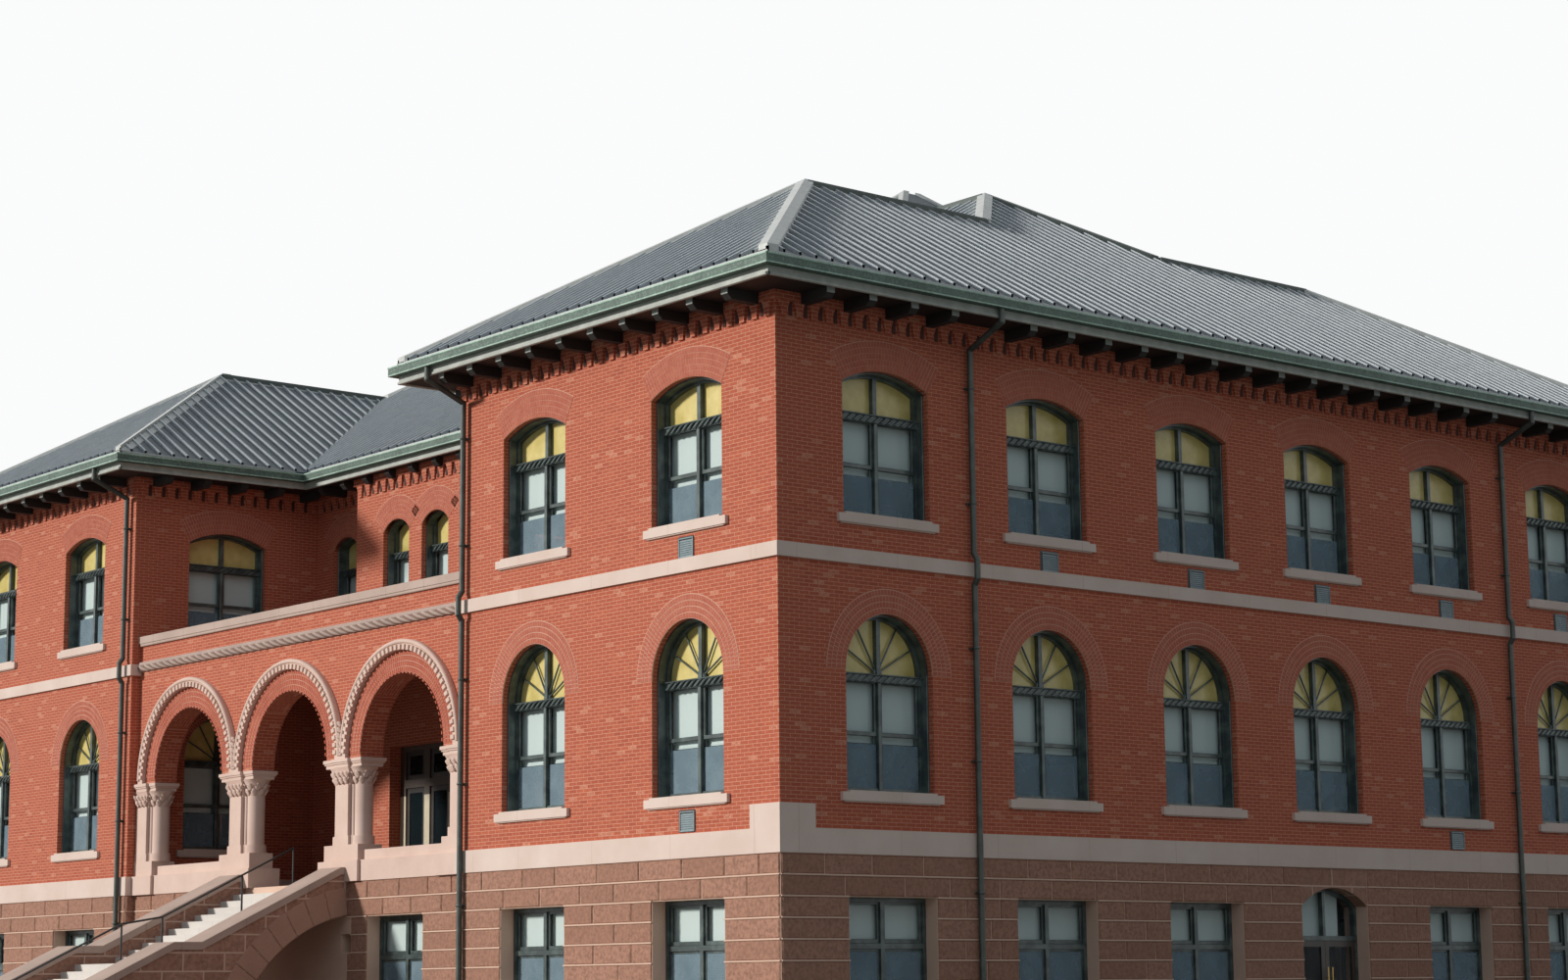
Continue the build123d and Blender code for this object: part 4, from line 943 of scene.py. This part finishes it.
def roof_strip(half, run, place):
    return hip_strip(half, run, 0.24, ROOF_PITCH, place, 0.12)


VENT_X, VENT_FOOT, VENT_HALVES, VENT_RUN = 6.5, 18.38, (1.3, 1.55), 1.3
strips = []
for side in (1, -1):
    strips += roof_strip(NOSE_Y, WING_RUN, slope_place(90 * side, NOSE_X))
    for end, turn in ENDS:
        strips += roof_strip(WING_RUN, WING_RUN, move(side * WING_MIDDLE, 0, 0) @ slope_place(turn, NOSE_Y))
    for turn in (0, 180, 90, -90):
        half, reach = VENT_HALVES if turn in (0, 180) else VENT_HALVES[::-1]
        place = move(side * VENT_X, 0, VENT_FOOT) @ turned(turn) @ move(0, -reach, 0)
        strips += hip_strip(half, VENT_RUN, 0.16, VENT_PITCH, place, 0.05)
lift = move(0, 0, ROOF_PITCH * (NOSE_X - WING_MIDDLE))
for turn in (0, 180):
    strips += roof_strip(WING_MIDDLE, MAIN_RUN, lift @ slope_place(turn, MAIN_RUN))
# Painted shade: one half of each hip strip on the main roof's end slopes takes the dark ridge sheet for the shade on
# it.
shaded_hip_halves = []
for turn in (90, -90):
    halves = roof_strip(MAIN_RUN, MAIN_RUN, lift @ slope_place(turn, WING_MIDDLE))
    shaded_hip_halves.append(halves.pop(0 if turn == 90 else 1))
    strips += halves
finish(join(strips), "hip_strips", ROOF_CAP)

# Mouldings of the eaves
EAVES_LOOP = [(GUTTER_X, -GUTTER_Y), (GUTTER_X, GUTTER_Y), (COURT_GUTTER_X, GUTTER_Y),
              (COURT_GUTTER_X, COURT_GUTTER_Y), (-COURT_GUTTER_X, COURT_GUTTER_Y), (-COURT_GUTTER_X, GUTTER_Y)]
EAVES_LOOP += [(-x, -y) for x, y in EAVES_LOOP]


def eaves_rail(out, depth, low, high, width):
    """Moulded rail right round the eaves, from its distance outside the gutter's face to its depth inside it."""
    made = []
    for (x0, y0), (x1, y1) in zip(EAVES_LOOP, EAVES_LOOP[1:] + EAVES_LOOP[:1]):
        length = math.dist((x0, y0), (x1, y1))
        rail = soften(block((-out, -out, low), (length + out, depth, high)), width, 2)
        made.append(repeat(rail, [at(x0, y0, 0, math.degrees(math.atan2(y1 - y0, x1 - x0)))]))
    return join(made)


rims = [eaves_rail(0.016, 0.03, 13.772, 13.812, 0.014), eaves_rail(0.008, 0.02, 13.625, 13.655, 0.01)]
finish(join(rims), "gutter_rims", PATINA_AND_HIGHLIGHT)
finish(eaves_rail(0.005, 0.002, 13.62, 13.80, 0.002), "gutter_facing", COPPER)
finish(eaves_rail(-0.125, 0.2, 13.462, 13.515, 0.016), "fascia_moulding", FASCIA_PAINT)
finish(eaves_rail(-0.12, 0.17, 13.84, 13.885, 0.008), "roof_edge_flashing", ROOF_CAP)


# Coursed stone of the basement
def split_face(seed):
    """A stone one metre long: its face is inset, pushed out and broken unevenly."""
    piece = block((0, -0.006, 0), (1, 0.02, STONE_COURSE - STONE_JOINT))
    edit(piece)
    pick(piece, facing(1, 1))
    bpy.ops.mesh.delete(type="FACE")
    pick(piece, FRONT)
    bpy.ops.mesh.subdivide(number_cuts=3)
    bpy.ops.mesh.inset(thickness=0.02)
    bpy.ops.transform.translate(value=(0, -0.018, 0))
    bpy.ops.transform.vertex_random(offset=0.007, seed=seed)
    done()
    return piece


def clear_spans(start, end, gaps):
    """What is left of a stretch once the gaps are taken out of it."""
    spans = []
    for low, high in sorted(gaps):
        if low > start:
            spans.append((start, min(low, end)))
        start = max(start, high)
    spans.append((start, end))
    return [(a, b) for a, b in spans if b - a > 0.12]


def stones_in(span, course, chance):
    """Lengths of the stones in one stretch of a course, breaking joint with the course below."""
    start, end = span
    count = max(1, round((end - start) / STONE_LENGTH))
    pitch = (end - start) / count
    shift = 0.25 if course % 2 else -0.25
    cuts = [start + pitch * (k + shift + chance.uniform(-0.08, 0.08)) for k in range(1, count)]
    if course % 2 == 0 and count > 1:
        cuts.append(end - pitch * 0.45)
    cuts = sorted({start, *cuts, end})
    return [(a, b) for a, b in zip(cuts, cuts[1:]) if b - a > 0.1]


def stone_place(place, start, end, low, rise=1.0):
    """Place of one stone in its run, between two uprights, stretched to its length and its rise."""
    size = Matrix.Diagonal((end - start - STONE_JOINT, 1, rise, 1))
    return place @ move(start + STONE_JOINT / 2, 0, low + STONE_JOINT / 2) @ size


def run_stones(place, length, holes, chance):
    """Places of the stones on one run of wall. A hole is its span along the run and its span in height."""
    found = []
    for course in range(STONE_COURSES):
        low, high = course * STONE_COURSE, (course + 1) * STONE_COURSE
        gaps = [(a, b) for a, b, bottom, top in holes if bottom < high - 0.02 and top > low + 0.02]
        for span in clear_spans(0, length, gaps):
            found += [stone_place(place, a, b, low) for a, b in stones_in(span, course, chance)]
        for a, b, bottom, top in holes:
            if low + 0.04 < bottom < high - 0.02:
                rise = (bottom - low - STONE_JOINT) / (STONE_COURSE - STONE_JOINT)
                found.append(stone_place(place, a, b, low, rise))
    return found


def bed_joints(place, length, holes):
    """Raised pointing along every bed joint of one run, a little proud of the stones."""
    found = []
    for course in range(1, STONE_COURSES):
        level = course * STONE_COURSE
        gaps = [(a, b) for a, b, bottom, top in holes if bottom < level < top]
        found += [place @ move(a, 0, level) @ Matrix.Diagonal((b - a, 1, 1, 1))
                  for a, b in clear_spans(0, length, gaps)]
    return found


def basement_runs():
    """Runs of basement wall with the holes in each: windows, the side door and where the stair meets the porch."""
    door_low, door_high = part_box("side_door_surround")
    stair = ((4.26, 9.15, 0.0, BASEMENT_TOP), (4.12, 9.29, 2.49, 2.90))
    walls = [(x, y, turn, length, ()) for x, y, turn, length, _, _ in runs()
             if abs(y) > COURT_LINE - 0.1 and y != -BAY_LINE and not (y == -COURT_LINE and turn == 0)]
    walls.append((-COURT_HALF, PORCH_FACE, 0, 2 * COURT_HALF, stair))
    for x, y, turn, length, extra in walls:
        place = at(x, y, 0, turn)
        back = place.inverted()
        holes = list(extra)
        for window in wall_places("basement"):
            local = back @ window.translation
            if abs(local.y) < 0.05 and 0 < local.x < length:
                holes.append((local.x - WIDE_HALF, local.x + WIDE_HALF, *BASEMENT_OPENING))
        if turn == 90 and x > 16:
            holes.append((door_low[1] + HALF_LENGTH, door_high[1] + HALF_LENGTH, 0.0, BASEMENT_TOP))
        yield place, length, holes


def basement_stones():
    """Stones laid on every run, each one of six split faces with a tone of its own."""
    chance = random.Random(11)
    found, beds = [], []
    for place, length, holes in basement_runs():
        found += run_stones(place, length, holes, chance)
        beds += bed_joints(place, length, holes)
    pointing = soften(block((0, -0.036, -0.015), (1, 0.0, 0.015)), 0.006)
    finish(pointing, "basement_bed_joints", JOINTS, beds)
    kinds = [split_face(seed) for seed in range(6)]
    whole = bmesh.new()
    for place in found:
        mesh = kinds[chance.randrange(len(kinds))].data.copy()
        mesh.transform(place)
        tone = mesh.attributes.new("tone", "FLOAT", "FACE")
        tone.data.foreach_set("value", [chance.random()] * len(mesh.polygons))
        whole.from_mesh(mesh)
        bpy.data.meshes.remove(mesh)
    for kind in kinds:
        bpy.data.objects.remove(kind)
    return gathered(whole)


finish(basement_stones(), "basement_stones", BLOCKS)


# Ridge rolls
def ridge_roll(x0, x1, y0, y1, low, high):
    """Sheet folded to a roll along a ridge, with a flat wing each side."""
    piece = block((x0, y0, low), (x1, y1, high))
    edit(piece)
    pick(piece, TOP)
    bpy.ops.mesh.inset(thickness=0.03)
    extrude((0, 0, 0.03))
    done()
    return soften(piece, 0.012, 2)


HALF_ROLL, ROLL_LAP = 0.13, 0.035
main_end, wing_start, wing_end = MAIN_RIDGE_END + ROLL_LAP, MAIN_RUN - 0.055, WING_RIDGE_END + ROLL_LAP
rolls = shaded_hip_halves + [ridge_roll(-main_end, main_end, -HALF_ROLL, HALF_ROLL, 18.76, 18.875)]
for ridge in (WING_MIDDLE, -WING_MIDDLE):
    for y0, y1 in ((wing_start, wing_end), (-wing_end, -wing_start)):
        rolls.append(ridge_roll(ridge - HALF_ROLL, ridge + HALF_ROLL, y0, y1, 17.19, 17.305))
finish(join(rolls), "ridge_rolls", RIDGE)

# Sill mouldings, vents and pipe straps
for window in WINDOWS:
    half, level = window.sill_half, window.low - 0.15
    moulding = push(block((-half, -0.04, level - 0.024), (half, 0.0, level)), FRONT, (0, -0.01, 0.003), 0.006)
    finish(soften(moulding, 0.008, 2), window.storey + "_sill_mouldings", PALE_STONE, window.places)


def louvred_vent(level):
    """Room vent in the wall: a thin frame with eight sloping slats."""
    parts = [open_frame((-0.19, -0.03, level + 0.01), (0.215, 0.01, level + 0.36), 0.018)]
    for k in range(8):
        z = level + 0.055 + 0.038 * k
        parts.append(push(block((-0.175, -0.024, z - 0.004), (0.2, -0.01, z + 0.004)), FRONT, (0, 0, -0.03)))
    return join(parts)


END_VENT = at(WING_MIDDLE + WING_BAYS[1], -HALF_LENGTH, 0)
VENT_ROWS = ((9.14, [END_VENT] + [at(HALF_WIDTH, y, 0, 90) for y in SIDE_BAYS[1:]]),
             (4.36, [END_VENT, at(HALF_WIDTH, SIDE_BAYS[-2], 0, 90)]))
vents = [repeat(louvred_vent(level), places) for level, places in VENT_ROWS]
finish(join(vents), "louvred_vents", LOUVRE)
# Painted shade: black plates behind the vents for the shadow in their recess.
holes = [repeat(soften(block((-0.23, -0.012, level), (0.215, 0.0, level + 0.385)), 0.004), places)
         for level, places in VENT_ROWS]
finish(join(holes), "vent_shade_backings", RAIL_PAINT)


def strap():
    """Collar round a rain pipe with a lug back to the wall."""
    collar = primitive(bpy.ops.mesh.primitive_torus_add, location=(0, -0.11, 0), major_radius=0.06,
                       minor_radius=0.012, major_segments=16, minor_segments=6)
    collar.data.transform(Matrix.Diagonal((1, 1, 2.2, 1)))
    return join([collar, soften(block((-0.08, -0.055, -0.02), (0.08, 0.0, 0.02)), 0.006)])


SIDE_PIPE, END_PIPE = 7.805, 6.955
strap_places = []
for level in (1.3, 3.3, 5.6, 7.6, 10.2, 12.3):
    for side in (1, -1):
        strap_places += [at(side * HALF_WIDTH, y, level, 90 * side) for y in (-SIDE_PIPE, SIDE_PIPE)]
        strap_places += [at(side * END_PIPE, end * HALF_LENGTH, level, turn) for end, turn in ENDS]
finish(strap(), "pipe_straps", PIPE_PAINT, strap_places)


# Porch carving
def twisted_string(radius, offset, phase):
    """Three strands that wind round one another along the porch front, each a screwed round."""
    strands = []
    for k in range(3):
        turn = k * 2 * math.pi / 3 + phase
        strand = primitive(bpy.ops.mesh.primitive_circle_add, vertices=8, radius=radius, rotation=(0, math.pi / 2, 0),
                           location=(0, offset * math.cos(turn), offset * math.sin(turn)))
        apply(strand, "SCREW", axis="X", angle=2 * math.pi, screw_offset=0.886, iterations=15, steps=20,
              render_steps=20)
        edit(strand)
        bpy.ops.mesh.select_all(action="SELECT")
        bpy.ops.mesh.fill_holes(sides=8)
        done()
        strands.append(smooth(merged(strand), 50))
    rope = join(strands)
    rope.data.transform(move(-STRING_HALF, PORCH_FACE - 0.03, 9.053))
    return rope


def front_moulding(half, out, low, high, step, inset):
    """Flat moulding along the porch front, its face inset and stepped forward."""
    return push(block((-half, PORCH_FACE - out, low), (half, PORCH_FACE, high)), FRONT, step, inset)


fillet = soften(front_moulding(STRING_HALF, 0.065, 9.10, 9.188, (0, -0.012, 0), 0.02), 0.008, 2)
finish(join([twisted_string(0.038, 0.052, 0.0), fillet]), "porch_rope_string", ROPE_STONE,
       replaces=["porch_string"])
# Thin dark strands in the grooves between the rope's strands, as painted shade.
finish(twisted_string(0.022, 0.056, math.pi / 3), "porch_rope_grooves", GROOVE_SHADE)

roll = primitive(bpy.ops.mesh.primitive_torus_add, location=(0, -0.085, ARCH_CENTRE), rotation=(math.pi / 2, 0, 0),
                 major_radius=2.125, minor_radius=0.047, major_segments=96, minor_segments=10)
roll = smooth(cut(roll, (0, 0, ARCH_CENTRE), (0, 0, -1)), 40)
hood = join([roll, brick_ring(42, 1.950, 0.12, math.pi / 2, ARCH_CENTRE, 0.135, 0.07)])
finish(hood, "porch_hood_carving", CARVED_STONE, porch_places)
teeth = brick_ring(36, ARCH_RADIUS - 0.036, 0.04, math.pi / 2, ARCH_CENTRE, 0.03, 0.065)
finish(teeth, "porch_arch_teeth", GAUGED, porch_places)


def leaf(width, height):
    """Carved leaf: a flattened bud whose tip is drawn forward."""
    piece = primitive(bpy.ops.mesh.primitive_ico_sphere_add, subdivisions=2, radius=1,
                      scale=(width / 2, 0.022, height / 2))
    push(piece, lambda centre, normal: centre.z > height * 0.16, (0, -0.028, 0))
    push(piece, lambda centre, normal: centre.z > height * 0.34, (0, -0.022, -0.012))
    return smooth(piece, 60)


CAPITAL_FOOT = 5.878
leaf_places = []
for x in (-6.045, -2.5475, -1.7975, 1.7975, 2.5475, 6.045):
    for z, out, shift in ((0.09, 0.195, 0), (0.20, 0.225, 22.5)):
        leaf_places += [move(x, PORCH_MIDDLE, CAPITAL_FOOT + z) @ turned(45 * k + shift) @ move(0, -out, 0)
                        for k in range(8)]
for x in (-6.42, -PIER_MIDDLE, PIER_MIDDLE, 6.42):
    for z, out, offsets in ((0.09, 0.30, (-0.16, 0, 0.16)), (0.21, 0.325, (-0.08, 0.08, -0.23, 0.23))):
        leaf_places += [move(x + dx, PORCH_MIDDLE - out, CAPITAL_FOOT + z) for dx in offsets]
boss_places = [move(x, PORCH_FACE - 0.092, 6.52 + 0.12 * k) for x in (-PIER_MIDDLE, PIER_MIDDLE) for k in range(6)]
carving = [repeat(leaf(0.13, 0.17), leaf_places), repeat(leaf(0.15, 0.13), boss_places)]
finish(join(carving), "porch_leaf_carving", CARVED_STONE)


def abacus(x0, x1, reach):
    """Moulded slab over a capital: a thin top that steps in twice below."""
    piece = block((x0, PORCH_MIDDLE - reach, 6.335), (x1, PORCH_MIDDLE + reach, 6.408))
    edit(piece)
    pick(piece, BOTTOM)
    for inset, drop in ((0.022, 0.035), (0.026, 0.072)):
        bpy.ops.mesh.inset(thickness=inset)
        extrude((0, 0, -drop))
    done()
    return soften(piece, 0.007)


slabs = []
for side in (1, -1):
    for half, end, reach in ((0.7305, 5.787, 0.311), (0.322, 6.098, 0.377)):
        slabs.append(abacus(side * PIER_MIDDLE - half, side * PIER_MIDDLE + half, reach))
        slabs.append(abacus(*sorted((side * end, side * COURT_HALF)), reach))
finish(join(slabs), "porch_abaci", CARVED_STONE, replaces=["porch_imposts"])
coping = soften(front_moulding(COPING_HALF, 0.045, 9.55, 9.616, (0, -0.012, 0.006), 0.012), 0.01, 2)
finish(coping, "porch_coping_moulding", COPING_STONE)

# Wedge stones of the arch under the stair
WEDGE_DEGREES, FIRST_DEGREES, WEDGE_DEPTH = 7.54, 9.3, 0.56
wedge = block((-0.018, -0.203, 3.175), (0.02, 0.203, 3.17 + WEDGE_DEPTH))
edit(wedge)
pick(wedge, TOP)
bpy.ops.transform.resize(value=(1, 1.17, 1))
done()
wedges = [move(x, -11.5535, 0.111) @ turned(FIRST_DEGREES + WEDGE_DEGREES * (k + 0.5), "X")
          for x in (2.445, -2.445) for k in range(8)]
finish(soften(wedge, 0.014), "stair_arch_stones", VOUSSOIR, wedges)


# Side door fittings
def pull_handle(x, y):
    """Tall upright pull on two stubs."""
    bar = primitive(bpy.ops.mesh.primitive_cylinder_add, vertices=12, radius=0.014, depth=1.5, location=(0, 0, 1.25))
    stubs = [soften(block((-0.055, -0.011, z - 0.011), (0.005, 0.011, z + 0.011)), 0.003) for z in (0.7, 1.8)]
    handle = join([soften(bar, 0.004, 2)] + stubs)
    handle.data.transform(move(x + 0.05, y, 0))
    return smooth(handle)


for body in ("left_leaf", "right_leaf"):
    low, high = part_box("side_door_" + body)
    y = high[1] - 0.06 if body == "left_leaf" else low[1] + 0.06
    finish(pull_handle(high[0], y), body + "_pull", BRASS, body=body)

low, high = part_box("side_door_fanlight")
blind = block((low[0] - 0.05, low[1] - 0.02, low[2]), (low[0] - 0.045, high[1] - 0.35, high[2] + 0.02))
edit(blind)
pick(blind, BOTTOM)
extrude((0, 0, -0.02))
bpy.ops.transform.resize(value=(3, 1, 1))
done()
finish(blind, "door_fanlight_blind", BLIND)

# Finishes of the CAD pieces
NODE_FINISH = {
    BASEMENT: ("side_door_surround",),
    JOINTS: ("basement_left_wall", "basement_right_wall", "basement_wing_end_walls", "basement_court_walls",
             "porch_base_wall"),
    BRICK: ("lower_side_walls", "lower_wing_end_walls", "lower_court_walls", "upper_side_walls",
            "upper_wing_end_walls", "upper_court_walls", "porch_arcade", "corbel_course"),
    PALE_STONE: ("stone_band", "corner_stones", "belt_course", "window_sills"),
    PORCH_STONE: ("stair_body",),
    CARVED_STONE: ("porch_pedestals", "porch_parapets", "porch_columns", "porch_capitals", "porch_imposts",
                   "porch_hood_moulds", "porch_string"),
    COPING_STONE: ("porch_coping", "stair_copings"),
    TREAD_STONE: ("stair_treads",),
    FLOOR_STONE: ("basement_floor", "lower_floor", "upper_floor", "attic_floor", "porch_floor",
                  "porch_balcony_floor"),
    WINDOW_PAINT: ("window_frames", "side_door_frame"),
    GLASS: ("window_glass", "entrance_glass", "side_door_left_glass", "side_door_right_glass",
            "side_door_fanlight"),
    ROOF: ("main_roof", "wing_roofs", "roof_vents"),
    ROOF_CAP: ("roof_caps",),
    EAVES_PAINT: ("eaves_soffit",),
    FASCIA_PAINT: ("eaves_fascia",),
    RAFTER: ("eaves_brackets",),
    COPPER: ("gutters",),
    PIPE_PAINT: ("downspouts",),
    ENTRANCE_PAINT: ("entrance_screen",),
    DOOR_PAINT: ("entrance_doors", "side_door_left_leaf", "side_door_right_leaf"),
    RAIL_PAINT: ("stair_handrail",),
}
for material, names in NODE_FINISH.items():
    for name in names:
        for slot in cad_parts[name].material_slots:
            slot.material = material


# Floor, light and camera
def studio_floor():
    """Pale matt floor that the camera sees as pale and that keeps the shadow."""
    material, tree, place = new_material("pale_studio_floor", 0.9)
    grain = noise(tree, place, 3.0)
    pale = mix(tree, grain, "E6E4E0", "E2E0DC")
    seen = add(tree, "LightPath").outputs["Is Camera Ray"]
    tree.links.new(mix(tree, seen, "86857F", pale), tree.nodes["Principled BSDF"].inputs["Base Color"])
    floor = block((-160, -120, -0.05), (130, 170, 0.0))
    floor.name = "studio_floor"
    floor.data.materials.append(material)


def studio_light():
    """Pale world as seen and mirrored, a dimmer blue one as light, a soft low key and a weak fill."""
    world = bpy.data.worlds.new("studio")
    bpy.context.scene.world = world
    world.use_nodes = True
    tree = world.node_tree
    shade = tree.nodes["Background"]
    shade.inputs["Color"].default_value = (0.78, 0.9, 1.0, 1)
    shade.inputs["Strength"].default_value = 0.24
    plain = add(tree, "Background", {"Color": (0.96, 0.965, 0.97, 1), "Strength": 1.0})
    path = add(tree, "LightPath")
    seen = path.outputs["Is Camera Ray"]
    for ray in ("Is Glossy Ray", "Is Transmission Ray"):
        seen = maths(tree, "MAXIMUM", [seen, path.outputs[ray]])
    both = add(tree, "MixShader", {}, {0: seen, 1: shade.outputs[0], 2: plain.outputs[0]})
    tree.links.new(both.outputs[0], tree.nodes["World Output"].inputs["Surface"])
    for name, turn, rise, strength, spread, colour in (("key", -28, 19, 3.35, 6, (1.0, 0.965, 0.91)),
                                                       ("fill", 60, 35, 0.2, 40, (0.85, 0.93, 1.0))):
        lamp = bpy.data.lights.new(name, "SUN")
        lamp.energy = strength
        lamp.angle = math.radians(spread)
        lamp.color = colour
        holder = bpy.data.objects.new(name, lamp)
        holder.rotation_euler = (math.radians(90 - rise), 0, math.radians(turn))
        bpy.context.collection.objects.link(holder)


# Focal length and width of the photo, in its pixels.
FOCAL_PIXELS, PHOTO_WIDTH = 2990, 1600


def photo_camera():
    """Camera at the street corner, level with a person's eyes and tipped up at the building."""
    yaw, pitch, roll = (math.radians(v) for v in (50.036, 9.714, -0.589))
    forward = Vector((-math.sin(yaw) * math.cos(pitch), math.cos(yaw) * math.cos(pitch), math.sin(pitch)))
    level = Vector((math.cos(yaw), math.sin(yaw), 0))
    upright = level.cross(forward)
    right = math.cos(roll) * level + math.sin(roll) * upright
    up = math.cos(roll) * upright - math.sin(roll) * level
    data = bpy.data.cameras.new("camera")
    data.sensor_width = 36.0
    data.lens = FOCAL_PIXELS / PHOTO_WIDTH * data.sensor_width
    data.clip_end = 500
    holder = bpy.data.objects.new("camera", data)
    aim = Matrix((right, up, -forward)).transposed().to_4x4()
    holder.matrix_world = move(53.90, -43.60, 1.634) @ aim
    bpy.context.collection.objects.link(holder)
    bpy.context.scene.camera = holder


studio_floor()
studio_light()
photo_camera()
bpy.context.scene.view_settings.view_transform = "Standard"
